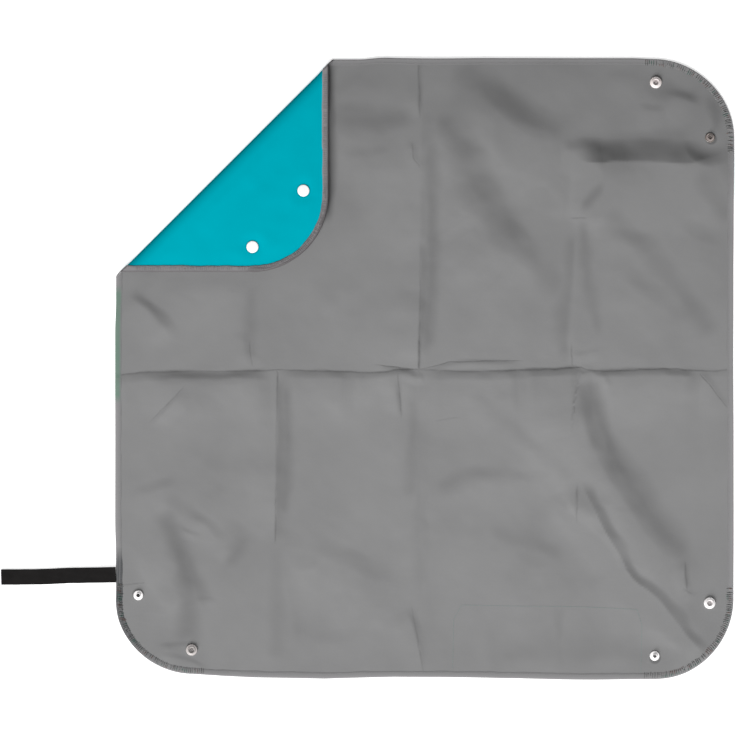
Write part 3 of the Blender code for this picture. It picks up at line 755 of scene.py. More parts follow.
# Section of the tape: how deep inside the edge, and how far from the cloth's middle. Both legs thin towards their own edges.
SECTION = [
    (0.00820, 0.00049), (0.00790, 0.00057), (0.00700, 0.00061), (0.00520, 0.00064),
    (0.00340, 0.00068), (0.00180, 0.00069), (0.00075, 0.00062), (0.00018, 0.00038),
    (0.00000, 0.00000),
    (0.00018, -0.00062), (0.00075, -0.00108), (0.00180, -0.00127), (0.00340, -0.00126),
    (0.00520, -0.00120), (0.00700, -0.00112), (0.00790, -0.00098), (0.00820, -0.00060),
    (0.00600, -0.00050), (0.00240, -0.00050), (0.00120, 0.00000), (0.00240, 0.00047),
    (0.00600, 0.00047),
]


def outer_height(deep, side):
    """How far the tape's leg stands off the cloth's middle at a depth, on the grey side or the teal one."""
    leg = SECTION[8::-1] if side > 0 else SECTION[8:17]
    return np.interp(deep, [s[0] for s in leg], [abs(s[1]) for s in leg])


def run_steps(start, end, fine):
    """Distances from start to end: 2 mm apart, and 0.5 mm apart in each range of fine."""
    cuts = sorted({start, end, *[c for lo_hi in fine for c in lo_hi if start < c < end]})
    made = [start]
    for a, b in zip(cuts, cuts[1:]):
        m = (a + b) / 2
        step = 0.0005 if any(lo <= m <= hi for lo, hi in fine) else 0.002
        n = max(1, int(round((b - a) / step)))
        made += [a + (b - a) * (i + 1) / n for i in range(n)]
    return np.array(made)


FINE = [
    (run_at(3, 0.300 + 0.093), run_at(3, 0.300 + 0.162)),
    (run_at(0, 0.300 - 0.162) + AROUND, run_at(0, 0.300 - 0.093) + AROUND),
]


def tape_mesh(start, end, folded):
    """The tape between two distances along the edge, as (points, faces, data)."""
    runs = run_steps(start, end, FINE if folded else [])
    section = np.array(SECTION)
    m, k = len(runs), len(section)
    run = np.repeat(runs, k)
    deep = np.tile(section[:, 0], m)
    off = np.tile(section[:, 1], m)
    # the tape isn't folded dead even, so its inner edges wander a little
    wander = 0.00035 * waves(run, run * 0, 0.02, 61) + 0.00015 * waves(run, run * 0, 0.006, 62)
    deep = deep + wander * smooth((deep - 0.005) / 0.003)
    flat, _ = edge(run, deep)
    verts, _ = place(flat, off, folded)
    faces = []
    for i in range(m - 1):
        for j in range(k):
            j2 = (j + 1) % k
            faces.append((i * k + j, i * k + j2, (i + 1) * k + j2, (i + 1) * k + j))
    faces.append(tuple(range(k))[::-1])
    faces.append(tuple((m - 1) * k + j for j in range(k)))
    data = np.column_stack([run, deep, off])
    return verts, faces, data


def stitch_mesh(a_run, a_deep, b_run, b_deep, side, radius, folded, sink=0.00004, sides=6, rings=6):
    """Thread lying on the tape from a to b, its ends sunk in their holes. side is 1 on the grey side, -1 on the teal one."""
    a_run = np.asarray(a_run, float)
    n = len(a_run)
    t = np.linspace(0, 1, rings)
    run = a_run[:, None] + (np.asarray(b_run)[:, None] - a_run[:, None]) * t
    deep = np.asarray(a_deep)[:, None] + (np.asarray(b_deep)[:, None] - np.asarray(a_deep)[:, None]) * t
    arch = np.sin(math.pi * t) ** 0.5
    thick = radius * (0.35 + 0.65 * arch)
    base = outer_height(deep, side)
    height = base + radius * 0.75 * arch - (sink + radius * 0.9) * (1 - arch)
    p, ahead = edge(run.ravel(), deep.ravel())
    inwards = np.stack([-ahead[:, 1], ahead[:, 0]], 1)
    d_run = (np.asarray(b_run) - a_run)[:, None] + np.zeros_like(t)
    d_deep = (np.asarray(b_deep) - np.asarray(a_deep))[:, None] + np.zeros_like(t)
    size = np.hypot(d_run, d_deep).ravel()
    cross = (
        ahead * (-d_deep.ravel() / size)[:, None] + inwards * (d_run.ravel() / size)[:, None]
    )
    turn = 2 * math.pi * np.arange(sides) / sides
    flat = (
        p[:, None, :]
        + cross[:, None, :] * (np.cos(turn)[None, :, None] * np.tile(thick, n)[:, None, None])
    )
    off = side * (height.ravel()[:, None] + np.sin(turn)[None, :] * np.tile(thick, n)[:, None])
    verts, _ = place(flat.reshape(-1, 2), off.ravel(), folded)
    grid = np.arange(n * rings * sides).reshape(n, rings, sides)
    faces = []
    for s in range(n):
        g = grid[s]
        for i in range(rings - 1):
            for j in range(sides):
                q = (g[i, j], g[i, (j + 1) % sides], g[i + 1, (j + 1) % sides], g[i + 1, j])
                faces.append(q if side > 0 else q[::-1])
        first, last = tuple(g[0]), tuple(g[-1])
        faces += [first[::-1], last] if side > 0 else [first, last[::-1]]
    data = np.column_stack(
        [np.repeat(run.ravel(), sides), np.repeat(deep.ravel(), sides), off.ravel()]
    )
    return verts, faces, data


def join(parts):
    verts, faces, which, data = [], [], [], []
    base = 0
    for (v, f, d), slot in parts:
        verts.append(v)
        faces += [tuple(int(i) + base for i in face) for face in f]
        which += [slot] * len(f)
        data.append(d)
        base += len(v)
    return np.concatenate(verts), faces, which, np.concatenate(data)


def tape_run(node, start, end, folded=False):
    parts = [(tape_mesh(start, end, folded), 0)]
    r = np.random.default_rng(int(start * 1000) + 5)
    # one row of lockstitch along each leg's inner edge
    pitch = 0.0031
    n = int((end - start - 0.003) / pitch)
    a = start + 0.0015 + np.arange(n) * pitch + r.normal(0, 0.00008, n)
    deep = 0.0064 + r.normal(0, 0.00012, n)
    parts.append((stitch_mesh(a, deep, a + 0.0025, deep + r.normal(0, 0.0001, n), 1, 0.00014, folded), 1))
    parts.append((stitch_mesh(a + 0.0007, deep, a + 0.0031, deep, -1, 0.00016, folded), 1))
    # round the corners the tape is overcast too, with threads that cross it on both sides
    if "corner" in node:
        middle = (start + end) / 2
        for side, span in ((1, ARC / 2 + 0.018), (-1, ARC / 2 + (0.155 if folded else 0.018))):
            span = min((end - start) / 2 - 0.004, span)
            n = int(2 * span / 0.0027)
            a = middle - span + np.arange(n) * 0.0027 + r.normal(0, 0.00028, n)
            lean = r.normal(0.0003, 0.0004, n)
            inner = (0.0096 if side > 0 else 0.0078) + r.normal(0, 0.0006, n)
            keep = r.random(n) > 0.08
            thread = stitch_mesh(
                a[keep], 0.0006 + r.normal(0, 0.0002, n)[keep], (a + lean)[keep], inner[keep], side,
                0.00038 if side > 0 else 0.00026, folded, rings=8,
            )
            parts.append((thread, 2 if side > 0 else 1))
    verts, faces, which, data = join(parts)
    ob = make(
        node.replace("_binding", "_tape"),
        verts,
        faces,
        [EDGE_TAPE, THREAD, LOOP_THREAD],
        which,
        None,
        {"tape_place": data},
    )
    ob.data.set_sharp_from_angle(angle=math.radians(50))
    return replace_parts(ob, node)


# ---------------------------------------------------------------- materials


class Nodes:
    """A short way to write a material's nodes."""

    def __init__(self, name):
        self.mat = bpy.data.materials.new(name)
        self.mat.use_nodes = True
        self.tree = self.mat.node_tree
        self.shader = self.tree.nodes["Principled BSDF"]

    def add(self, kind, values=None, **settings):
        node = self.tree.nodes.new(kind)
        for key, value in settings.items():
            setattr(node, key, value)
        for key, value in (values or {}).items():
            if isinstance(value, bpy.types.NodeSocket):
                self.tree.links.new(value, node.inputs[key])
            else:
                node.inputs[key].default_value = value
        return node

    def place(self, name):
        return self.add("ShaderNodeAttribute", attribute_name=name).outputs["Vector"]

    def noise(self, vector, scale, detail=2.0, rough=0.5):
        node = self.add(
            "ShaderNodeTexNoise",
            {"Vector": vector, "Scale": scale, "Detail": detail, "Roughness": rough},
        )
        return node.outputs["Fac"]

    def bands(self, vector, direction, period, distort=0.0):
        node = self.add(
            "ShaderNodeTexWave",
            {
                "Vector": vector,
                "Scale": math.pi / 10 / period,
                "Distortion": distort,
                "Detail": 1.0,
                "Detail Scale": 0.6,
            },
            wave_type="BANDS",
            bands_direction=direction,
        )
        return node.outputs["Fac"]

    def maths(self, operation, a, b=0.0, c=None):
        values = {0: a, 1: b}
        if c is not None:
            values[2] = c
        return self.add("ShaderNodeMath", values, operation=operation).outputs[0]

    def ramp(self, fac, low, high, a, b):
        """Maps fac from low..high to a..b."""
        node = self.add(
            "ShaderNodeMapRange",
            {"Value": fac, "From Min": low, "From Max": high, "To Min": a, "To Max": b},
        )
        return node.outputs["Result"]

    def mix(self, fac, a, b, mode="MIX"):
        node = self.add("ShaderNodeMix", data_type="RGBA", blend_type=mode)
        for socket, value in ((node.inputs[0], fac), (node.inputs[6], a), (node.inputs[7], b)):
            if isinstance(value, bpy.types.NodeSocket):
                self.tree.links.new(value, socket)
            else:
                socket.default_value = value if isinstance(value, float) else (*value, 1.0)
        return node.outputs[2]

    def fold_path(self, spot, path, half_width, upright=False):
        """A thin line of painted shade across the cloth, through (how far along, where across, how dark) in the
        photograph's frame.
        """
        xyz = self.add("ShaderNodeSeparateXYZ", {0: spot})
        along, across = (xyz.outputs[1], xyz.outputs[0]) if upright else (xyz.outputs[0], xyz.outputs[1])
        node = self.add("ShaderNodeValToRGB", {0: self.ramp(along, -A, A, 0.0, 1.0)})
        stops = node.color_ramp.elements
        made = []
        for a, b, dark in path:
            x, y = photo(b, a) if upright else photo(a, b)
            u, v = (y, x) if upright else (x, y)
            made.append(((u + A) / (2 * A), ((v + A) / (2 * A), dark, 0.0, 1.0)))
        made.sort(key=lambda stop: stop[0])
        stops[0].position, stops[0].color = made[0]
        stops[1].position, stops[1].color = made[-1]
        for position, value in made[1:-1]:
            stops.new(position).color = value
        parts = self.add("ShaderNodeSeparateColor", {0: node.outputs[0]})
        here = self.ramp(parts.outputs[0], 0.0, 1.0, -A, A)
        away = self.maths("ABSOLUTE", self.maths("SUBTRACT", across, here))
        return self.maths("MULTIPLY", self.ramp(away, 0.0, half_width, 1.0, 0.0), parts.outputs[1])

    def ring(self, spot, centre, inner, outer, depth):
        """Painted shadow just outside a round piece: depth at inner, fading to 0 at outer."""
        away = self.add("ShaderNodeVectorMath", {0: spot, 1: (*centre, 0.0)}, operation="DISTANCE").outputs["Value"]
        return self.ramp(away, inner, outer, depth, 0.0)

    def bump(self, height, strength, distance, onto=None):
        values = {"Height": height, "Strength": strength, "Distance": distance}
        if onto is not None:
            values["Normal"] = onto
        return self.add("ShaderNodeBump", values).outputs["Normal"]

    def finish(self, colour=None, roughness=None, normal=None, **fixed):
        for key, value in fixed.items():
            self.shader.inputs[key.replace("_", " ")].default_value = value
        for key, value in (("Base Color", colour), ("Roughness", roughness), ("Normal", normal)):
            if isinstance(value, bpy.types.NodeSocket):
                self.tree.links.new(value, self.shader.inputs[key])
            elif value is not None:
                self.shader.inputs[key].default_value = value
        return self.mat


# thin lines of painted shade where the cloth was pressed in its folds, also dented in by a bump: (how far along, where
# across, how dark), half their width, whether they run front to back
FOLD_SHADE_LINES = [
    ([
        (108, 374, 0.20), (150, 371, 0.16), (200, 370, 0.14), (240, 370, 0.22), (250, 370, 0.28), (274, 369, 0.28),
        (281, 369, 0.20), (345, 371, 0.22), (378, 372, 0.20), (400, 368.5, 0.28), (416, 368.5, 0.30), (424, 369, 0.16),
        (470, 371, 0.16), (540, 369, 0.24), (560, 367.5, 0.32), (580, 366, 0.32), (586, 369, 0.22), (602, 370, 0.24),
        (666, 368, 0.26), (680, 368.5, 0.34), (697, 370, 0.34), (704, 370, 0.24), (740, 369, 0.20),
    ], 0.0019, False),
    ([
        (108, 364, 0.0), (374, 364, 0.0), (380, 364, 0.22), (398, 367, 0.28), (416, 368.5, 0.20), (428, 367, 0.22),
        (450, 361, 0.24), (515, 360, 0.20), (526, 360, 0.0), (740, 360, 0.0),
    ], 0.0015, False),
    ([
        (108, 585, 0.0), (120, 585, 0.0), (126, 585, 0.20), (142, 583, 0.18), (146, 583, 0.0), (149, 422, 0.0),
        (154, 417, 0.15), (183, 387, 0.15), (187, 383, 0.0), (434, 420, 0.0), (441, 419, 0.11), (455, 417, 0.11),
        (461, 417, 0.0), (568, 217, 0.0), (574, 217, 0.17), (583, 217, 0.17), (589, 217, 0.0), (681, 586, 0.0),
        (687, 589, 0.16), (690, 591, 0.14), (693.5, 593, 0.0), (697, 371, 0.0), (701, 376, 0.26), (708, 383, 0.24), (727, 408, 0.18),
        (731, 412, 0.0), (740, 412, 0.0),
    ], 0.0019, False),
    ([
        (50, 419, 0.18), (114, 419, 0.18), (119, 419, 0.0), (141, 412, 0.0), (147, 412, 0.18), (159, 413, 0.18),
        (165, 418, 0.14), (169, 419, 0.0), (240, 420, 0.0), (335, 419, 0.20), (341, 419, 0.38), (368, 419, 0.38),
        (372, 419, 0.0), (600, 410, 0.0), (615, 413, 0.12), (650, 419, 0.16), (676, 424, 0.12), (684, 425, 0.0),
    ], 0.0019, True),
    ([
        (50, 250, 0.0), (339, 250, 0.0), (345, 250, 0.18), (363, 252, 0.16), (367, 253, 0.0), (370, 278, 0.20), (374, 278, 0.30),
        (382, 278, 0.26), (392, 277, 0.08), (480, 276, 0.08), (500, 276, 0.22), (538, 275.5, 0.22), (543, 275, 0.0),
        (684, 275, 0.0),
    ], 0.0017, True),
    ([
        (50, 571, 0.0), (342, 571, 0.0), (348, 571, 0.26), (361, 571, 0.22), (366, 571, 0.0), (371, 398, 0.0), (376, 398, 0.22),
        (410, 401, 0.20), (418, 401, 0.0), (482, 576, 0.0), (490, 576, 0.19), (518, 576, 0.19), (524, 576, 0.0),
        (558, 684, 0.0), (565, 684, 0.20), (585, 686, 0.20), (592, 687, 0.0), (684, 687, 0.0),
    ], 0.0019, True),
]


def coated_cloth(name, low, high, tone_shift, rough, coat, seed, lines, rings):
    """Plain-woven polyester with a thin coating: the weave shows through it, with dull and shiny patches and the marks
    of its folds, which are dented in and darkened with painted shade. Painted shade also comes from a per-point
    attribute and from rings round the fasteners.
    """
    m = Nodes(name)
    at = m.place("cloth_place")
    shifted = m.add("ShaderNodeVectorMath", {0: at, 1: (seed, seed * 0.7, 0)}, operation="ADD").outputs[0]
    patch = m.noise(shifted, 11.0, 4.0, 0.55)
    fine = m.noise(shifted, 420.0, 2.0, 0.6)
    streak = m.noise(
        m.add("ShaderNodeVectorMath", {0: shifted, 1: (30.0, 900.0, 1.0)}, operation="MULTIPLY").outputs[0],
        1.0, 2.0, 0.5,
    )
    colour = m.mix(m.ramp(patch, 0.32, 0.68, 0.0, 1.0), low, high)
    colour = m.mix(m.ramp(fine, 0.35, 0.75, 0.0, 0.14), colour, tone_shift)
    colour = m.mix(m.ramp(streak, 0.4, 0.8, 0.0, 0.08), colour, tone_shift)
    across = m.bands(shifted, "X", 0.00092, 0.3)
    along = m.bands(shifted, "Y", 0.00092, 0.3)
    weave = m.maths("MULTIPLY", across, along)
    colour = m.mix(m.ramp(weave, 0.0, 0.9, 0.0, 0.10), colour, tone_shift)
    # the lines wander with the weave
    spot = m.add("ShaderNodeVectorMath", {0: at, 1: (1.0, 1.0, 0.0)}, operation="MULTIPLY").outputs[0]
    marks = m.add("ShaderNodeAttribute", attribute_name="cloth_painted_shade").outputs["Fac"]
    pressed = None
    if lines:
        drift = m.add("ShaderNodeTexNoise", {"Vector": spot, "Scale": 55.0, "Detail": 2.0}).outputs["Color"]
        drift = m.add("ShaderNodeVectorMath", {0: drift, 1: (0.5, 0.5, 0.5)}, operation="SUBTRACT").outputs[0]
        drift = m.add("ShaderNodeVectorMath", {0: drift, 1: (0.0035, 0.0035, 0.0)}, operation="MULTIPLY").outputs[0]
        bent = m.add("ShaderNodeVectorMath", {0: spot, 1: drift}, operation="ADD").outputs[0]
        for path, half_width, upright in lines:
            line_ = m.fold_path(bent, path, half_width, upright)
            pressed = line_ if pressed is None else m.maths("MAXIMUM", pressed, line_)
        uneven = m.ramp(m.noise(spot, 120.0, 2.0, 0.5), 0.35, 0.65, 0.55, 1.0)
        pressed = m.maths("MULTIPLY", pressed, uneven)
        marks = m.maths("ADD", marks, pressed)
    for centre, inner, outer, depth in rings:
        marks = m.maths("MAXIMUM", marks, m.ring(spot, centre, inner, outer, depth))
    # painted shade: the per-point shade, the fold lines and the rings round the fasteners darken the colour
    colour = m.mix(marks, colour, (0.0, 0.0, 0.0))
    crumple = m.noise(shifted, 62.0, 3.0, 0.55)
    small = m.noise(shifted, 190.0, 2.0, 0.5)
    normal = m.bump(weave, 0.25, 0.00005)
    normal = m.bump(small, 0.25, 0.00010, normal)
    normal = m.bump(crumple, 0.30, 0.00042, normal)
    if pressed is not None:
        normal = m.bump(m.maths("MULTIPLY", pressed, -1.0), 0.5, 0.0012, normal)
    roughness = m.ramp(m.noise(shifted, 26.0, 3.0, 0.6), 0.3, 0.7, rough - 0.06, rough + 0.07)
    return m.finish(colour, roughness, normal, Specular_IOR_Level=coat)


def tape_cloth(name, low, high, teal):
    """Woven tape: cross ribs close together, and a lighter line along its outer edge."""
    m = Nodes(name)
    at = m.place("tape_place")
    run = m.add("ShaderNodeSeparateXYZ", {0: at})
    patch = m.noise(at, 40.0, 3.0, 0.6)
    fuzz = m.noise(at, 900.0, 2.0, 0.6)
    ribs = m.bands(at, "X", 0.00070, 0.4)
    cords = m.bands(at, "Y", 0.00085, 0.3)
    colour = m.mix(m.ramp(patch, 0.35, 0.65, 0.0, 1.0), low, high)
    grey_side = m.ramp(run.outputs[2], -0.0004, 0.0001, 0.0, 1.0)
    # the side towards the grey cloth takes its colour
    colour = m.mix(m.maths("MULTIPLY", grey_side, 0.92), colour, (0.211, 0.211, 0.2125))
    colour = m.mix(m.ramp(fuzz, 0.35, 0.7, 0.0, 0.18), colour, tuple(1.25 * c for c in high))
    tone_shift = m.ramp(run.outputs[1], 0.0010, 0.0052, 0.34, 0.0)
    colour = m.mix(m.maths("MULTIPLY", tone_shift, grey_side), colour, (0.335, 0.322, 0.335))
    # painted shade: its inner edge, where it steps down onto the cloth, and the outer edge of its other leg are painted
    # darker
    inner = m.ramp(run.outputs[1], 0.0066, 0.0080, 0.0, 0.16)
    colour = m.mix(m.maths("MULTIPLY", inner, grey_side), colour, (0.0, 0.0, 0.0))
    back = m.maths("SUBTRACT", 1.0, grey_side)
    rim = m.ramp(run.outputs[1], 0.0006, 0.0030, 0.72, 0.0)
    colour = m.mix(m.maths("MULTIPLY", rim, back), colour, (0.03, 0.026, 0.026))
    # round the corners it is gathered in pleats along the edge; their shade is painted on its teal side as dark brown
    # streaks
    piece = m.maths("MODULO", m.maths("ADD", run.outputs[0], 0.3), 0.6 + ARC)
    arc = m.maths("MAXIMUM", m.ramp(piece, 0.570, 0.612, 0.0, 1.0), m.ramp(piece, 0.0, 0.012, 1.0, 0.0))
    pleat = m.noise(
        m.add("ShaderNodeVectorMath", {0: at, 1: (26.0, 520.0, 1.0)}, operation="MULTIPLY").outputs[0], 1.0, 2.0, 0.6
    )
    pleat_shade = m.maths("MULTIPLY", m.maths("MULTIPLY", arc, back), m.ramp(pleat, 0.30, 0.56, 0.85, 0.15))
    colour = m.mix(pleat_shade, colour, (0.066, 0.058, 0.060))
    # the near left corner is dark with soil on its grey side too
    soiled = m.maths("MULTIPLY", m.ramp(run.outputs[0], 0.232, 0.252, 0.0, 1.0), m.ramp(run.outputs[0], 0.345, 0.420, 1.0, 0.12))
    soiled = m.maths("MULTIPLY", m.maths("MULTIPLY", soiled, grey_side), m.ramp(pleat, 0.34, 0.60, 0.90, 0.55))
    soiled = m.maths("MULTIPLY", soiled, m.ramp(run.outputs[0], 0.500, 0.512, 1.0, 0.0))
    colour = m.mix(soiled, colour, (0.042, 0.046, 0.050))
    # where the backing peeps out along the left edge
    here = m.maths(
        "MULTIPLY",
        m.ramp(run.outputs[0], AROUND - 0.108, AROUND - 0.096, 0.0, 1.0),
        m.ramp(run.outputs[1], 0.0052, 0.0082, 1.0, 0.0),
    )
    here2 = m.maths(
        "MULTIPLY",
        m.ramp(run.outputs[0], 0.034, 0.046, 1.0, 0.0),
        m.ramp(run.outputs[1], 0.0052, 0.0082, 1.0, 0.0),
    )
    first = m.ramp(run.outputs[0], 1.0, 1.001, 1.0, 0.0)
    peep = m.maths("ADD", here, m.maths("MULTIPLY", here2, first))
    peep = m.maths("MULTIPLY", peep, m.ramp(patch, 0.30, 0.55, 0.65, 0.95))
    peep = m.maths("MULTIPLY", peep, grey_side)
    colour = m.mix(peep, colour, teal)
    normal = m.bump(m.maths("ADD", m.maths("MULTIPLY", ribs, 0.7), m.maths("MULTIPLY", cords, 0.3)), 0.6, 0.00010)
    normal = m.bump(patch, 0.5, 0.00030, normal)
    return m.finish(colour, m.ramp(fuzz, 0.3, 0.7, 0.62, 0.80), normal, Specular_IOR_Level=0.25)


def thread_finish(name, low, high, fleck=None):
    """Sewing thread: two strands twisted. fleck gives it stretches of another colour."""
    m = Nodes(name)
    at = m.place("tape_place")
    patch = m.noise(at, 230.0, 2.0, 0.5)
    twist = m.bands(at, "DIAGONAL", 0.00042, 0.1)
    colour = m.mix(m.ramp(patch, 0.42, 0.58, 0.0, 1.0), low, high)
    for number, (tint, amount) in enumerate(fleck or []):
        where = m.noise(
            m.add("ShaderNodeVectorMath", {0: at, 1: (7.0 * number + 3.0, 1.3, 0.0)}, operation="ADD").outputs[0],
            75.0 + 30.0 * number, 2.0, 0.5,
        )
        colour = m.mix(m.ramp(where, 0.56 - 0.5 * amount, 0.62 - 0.5 * amount, 0.0, 0.85), colour, tint)
    colour = m.mix(m.ramp(twist, 0.0, 1.0, 0.0, 0.25), colour, tuple(0.6 * c for c in low))
    return m.finish(colour, 0.6, m.bump(twist, 0.6, 0.00008), Specular_IOR_Level=0.2)


def moulded(name, low, high, rough, bands=(), post=None):
    """Moulded plastic, faintly uneven, with handling marks in its gloss. bands are rings of other colours: up to which
    radius, colour, how much; some of them are painted shade. post is the colour painted on the end of the cap's post,
    for the shade down the fastener's hole.
    """
    m = Nodes(name)
    at = m.place("turned_place")
    patch = m.noise(at, 180.0, 3.0, 0.5)
    marks = m.noise(at, 900.0, 3.0, 0.6)
    colour = m.mix(m.ramp(patch, 0.35, 0.65, 0.0, 1.0), low, high)
    flat_at = m.add("ShaderNodeVectorMath", {0: at, 1: (1.0, 1.0, 0.0)}, operation="MULTIPLY").outputs[0]
    radius = m.add("ShaderNodeVectorMath", {0: flat_at}, operation="LENGTH").outputs["Value"]
    for start, end, tint, amount in bands:
        middle, half = (start + end) / 2, (end - start) / 2
        away = m.maths("ABSOLUTE", m.maths("SUBTRACT", radius, middle))
        colour = m.mix(m.ramp(away, half - 0.00015, half + 0.00015, amount, 0.0), colour, tint)
    if post:  # painted shade: the end of the cap's post, seen down the hole, is painted dark
        height = m.add("ShaderNodeSeparateXYZ", {0: at}).outputs[2]
        colour = m.mix(m.ramp(height, 0.0012, 0.0016, 0.0, 1.0), colour, post)
    normal = m.bump(marks, 0.15, 0.00004)
    roughness = m.ramp(marks, 0.35, 0.7, rough - 0.05, rough + 0.12)
    return m.finish(colour, roughness, normal, Specular_IOR_Level=0.4)


def webbing(name):
    m = Nodes(name)
    at = m.place("strap_place")
    ribs = m.bands(at, "X", 0.00150, 0.2)
    picks = m.bands(at, "Y", 0.00125, 0.4)
    fuzz = m.noise(at, 1500.0, 2.0, 0.6)
    patch = m.noise(at, 60.0, 2.0, 0.5)
    colour = m.mix(m.ramp(patch, 0.3, 0.7, 0.0, 1.0), (0.0085, 0.0078, 0.0078), (0.0125, 0.0115, 0.0114))
    colour = m.mix(m.ramp(fuzz, 0.4, 0.75, 0.0, 0.5), colour, (0.022, 0.020, 0.020))
    normal = m.bump(m.maths("MULTIPLY", ribs, picks), 0.7, 0.00022)
    normal = m.bump(fuzz, 0.4, 0.00006, normal)
    return m.finish(colour, m.ramp(fuzz, 0.3, 0.7, 0.80, 0.95), normal, Specular_IOR_Level=0.10)


# painted shadow round the fasteners: a dark ring on the face round each socket and stud, and on the backing round each
# cap
FACE_SHADOW_RINGS, BACK_SHADOW_RINGS = [], []
for corner, kind, (fx, fy) in fastener_spots():
    reach = 0.0076 if kind == "socket" else 0.0064
    if corner == "far_left":
        continue
    FACE_SHADOW_RINGS.append(((fx, fy), reach + 0.0001, reach + (0.0014 if kind == "socket" else 0.0026), 0.10 if kind == "socket" else 0.40))
for corner, kind, (fx, fy) in fastener_spots():
    BACK_SHADOW_RINGS.append(((fx, fy), 0.0077, 0.0098, 0.42))
GREY_FACE = coated_cloth("coated_grey_cloth", (0.211, 0.211, 0.2125), (0.227, 0.227, 0.228), (0.253, 0.253, 0.254), 0.62, 0.22, 3.1, FOLD_SHADE_LINES, FACE_SHADOW_RINGS)
TEAL_BACK = coated_cloth("coated_teal_cloth", (0.000, 0.366, 0.458), (0.000, 0.384, 0.477), (0.000, 0.415, 0.500), 0.80, 0.0, 7.7, (), BACK_SHADOW_RINGS)
EDGE_TAPE = tape_cloth("woven_edge_tape", (0.225, 0.217, 0.225), (0.258, 0.249, 0.258), (0.140, 0.218, 0.174))
THREAD = thread_finish("sewing_thread", (0.170, 0.166, 0.171), (0.225, 0.219, 0.224))
LOOP_THREAD = thread_finish(
    "overcast_thread", (0.070, 0.075, 0.072), (0.150, 0.150, 0.150),
    [((0.020, 0.120, 0.085), 0.05), ((0.150, 0.070, 0.055), 0.03), ((0.300, 0.290, 0.290), 0.02)],
)
SEAM_THREAD = thread_finish("seam_thread", (0.140, 0.245, 0.222), (0.185, 0.285, 0.262))
SEAM_THREAD.node_tree.nodes["Attribute"].attribute_name = "cloth_place"
# painted shade down each fastener's hole: the colour painted on the end of its cap's post
POST_HOLE_SHADES = {
    "far_right_socket": (0.46, 0.41, 0.40), "far_right_stud": (0.17, 0.14, 0.13), "near_right_socket": (0.36, 0.34, 0.34),
    "near_right_stud": (0.15, 0.15, 0.15), "near_left_stud": (0.018, 0.018, 0.018), "near_left_socket": (0.22, 0.205, 0.20),
    "far_left_socket": (0.36, 0.34, 0.34), "far_left_stud": (0.15, 0.15, 0.15),
}
CAP_PLASTIC = {
    place_: moulded("cap_plastic_of_" + place_, (0.95, 0.95, 0.95), (0.975, 0.975, 0.975), 0.45, post=post_)
    for place_, post_ in POST_HOLE_SHADES.items()
}
PALE = (0.86, 0.84, 0.84), (0.93, 0.91, 0.91)
# painted shade in the fasteners: dark centre bands for the shade down their holes, the far right stud's dark outer band
# for the shade where it meets the cloth, and the far right stud and near left socket darker all over for the shade of
# the wrinkles they sit in
FASTENER_FINISH = {
    "far_right_socket": moulded("socket_plastic_beige", (0.70, 0.63, 0.61), (0.80, 0.75, 0.74), 0.40, [(0.0, 0.0036, (0.50, 0.45, 0.45), 0.75), (0.0, 0.0016, (0.30, 0.27, 0.27), 0.8)]),
    "far_right_stud": moulded("stud_plastic_painted_shade", (0.26, 0.22, 0.21), (0.44, 0.39, 0.37), 0.35, [(0.0019, 0.0034, (0.14, 0.12, 0.11), 0.6), (0.0050, 0.0070, (0.09, 0.075, 0.065), 0.75)]),
    "near_right_socket": moulded("socket_plastic_pale", (0.80, 0.77, 0.77), (0.90, 0.88, 0.88), 0.40, [(0.0, 0.0037, (0.55, 0.51, 0.51), 0.7), (0.0, 0.0014, (0.30, 0.27, 0.27), 0.8)]),
    "near_left_socket": moulded("socket_plastic_painted_shade", (0.28, 0.26, 0.25), (0.36, 0.34, 0.33), 0.35, [(0.0050, 0.0070, (0.54, 0.50, 0.49), 0.85), (0.0018, 0.0030, (0.48, 0.44, 0.43), 0.7)]),
    "near_right_stud": moulded("stud_plastic_white", *PALE, 0.40, [(0.0, 0.0020, (0.13, 0.13, 0.13), 0.9)]),
    "near_left_stud": moulded("stud_plastic_white_2", *PALE, 0.40, [(0.0, 0.0022, (0.015, 0.015, 0.015), 0.97)]),
}
FASTENER_FINISH["far_left_socket"] = FASTENER_FINISH["near_right_socket"]
FASTENER_FINISH["far_left_stud"] = FASTENER_FINISH["near_right_stud"]
WEBBING = webbing("black_elastic")

# ---------------------------------------------------------------- cloths and tape

EVEN = np.linspace(0, 1, 15)
# rows crowd round the tip of the roll, and none lies on it
ROLL = np.concatenate([0.5 - 0.5 * np.linspace(1, 0.04, 22) ** 1.5, 0.5 + 0.5 * np.linspace(0.04, 1, 22) ** 1.5])

sheets = {}
for corner, (sx, sy) in CORNERS.items():
    rolled = corner == "far_left"
    low, high = (ROLL_IN, ROLL_OUT) if rolled else (BEND_IN, BEND_OUT)
    quadrant = (MIDS[:, 0] * sx > 0) & (MIDS[:, 1] * sy > 0)
    beyond = ALL[ALL_IN & quadrant & (SUMS > high)]
    strip = corner_strip(sx, sy, low, high, ROLL if rolled else EVEN)
    sewn = (lambda p: abs(p[0]) + abs(p[1]) > BEND_IN) if corner == "near_right" else None
    ob, area = cloth(corner + "_cloth", np.concatenate([beyond, strip]), folded=rolled, seam=sewn)
    sheets[corner] = ob, area
    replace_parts(ob, corner + "_backing_ply", corner + "_face_ply")

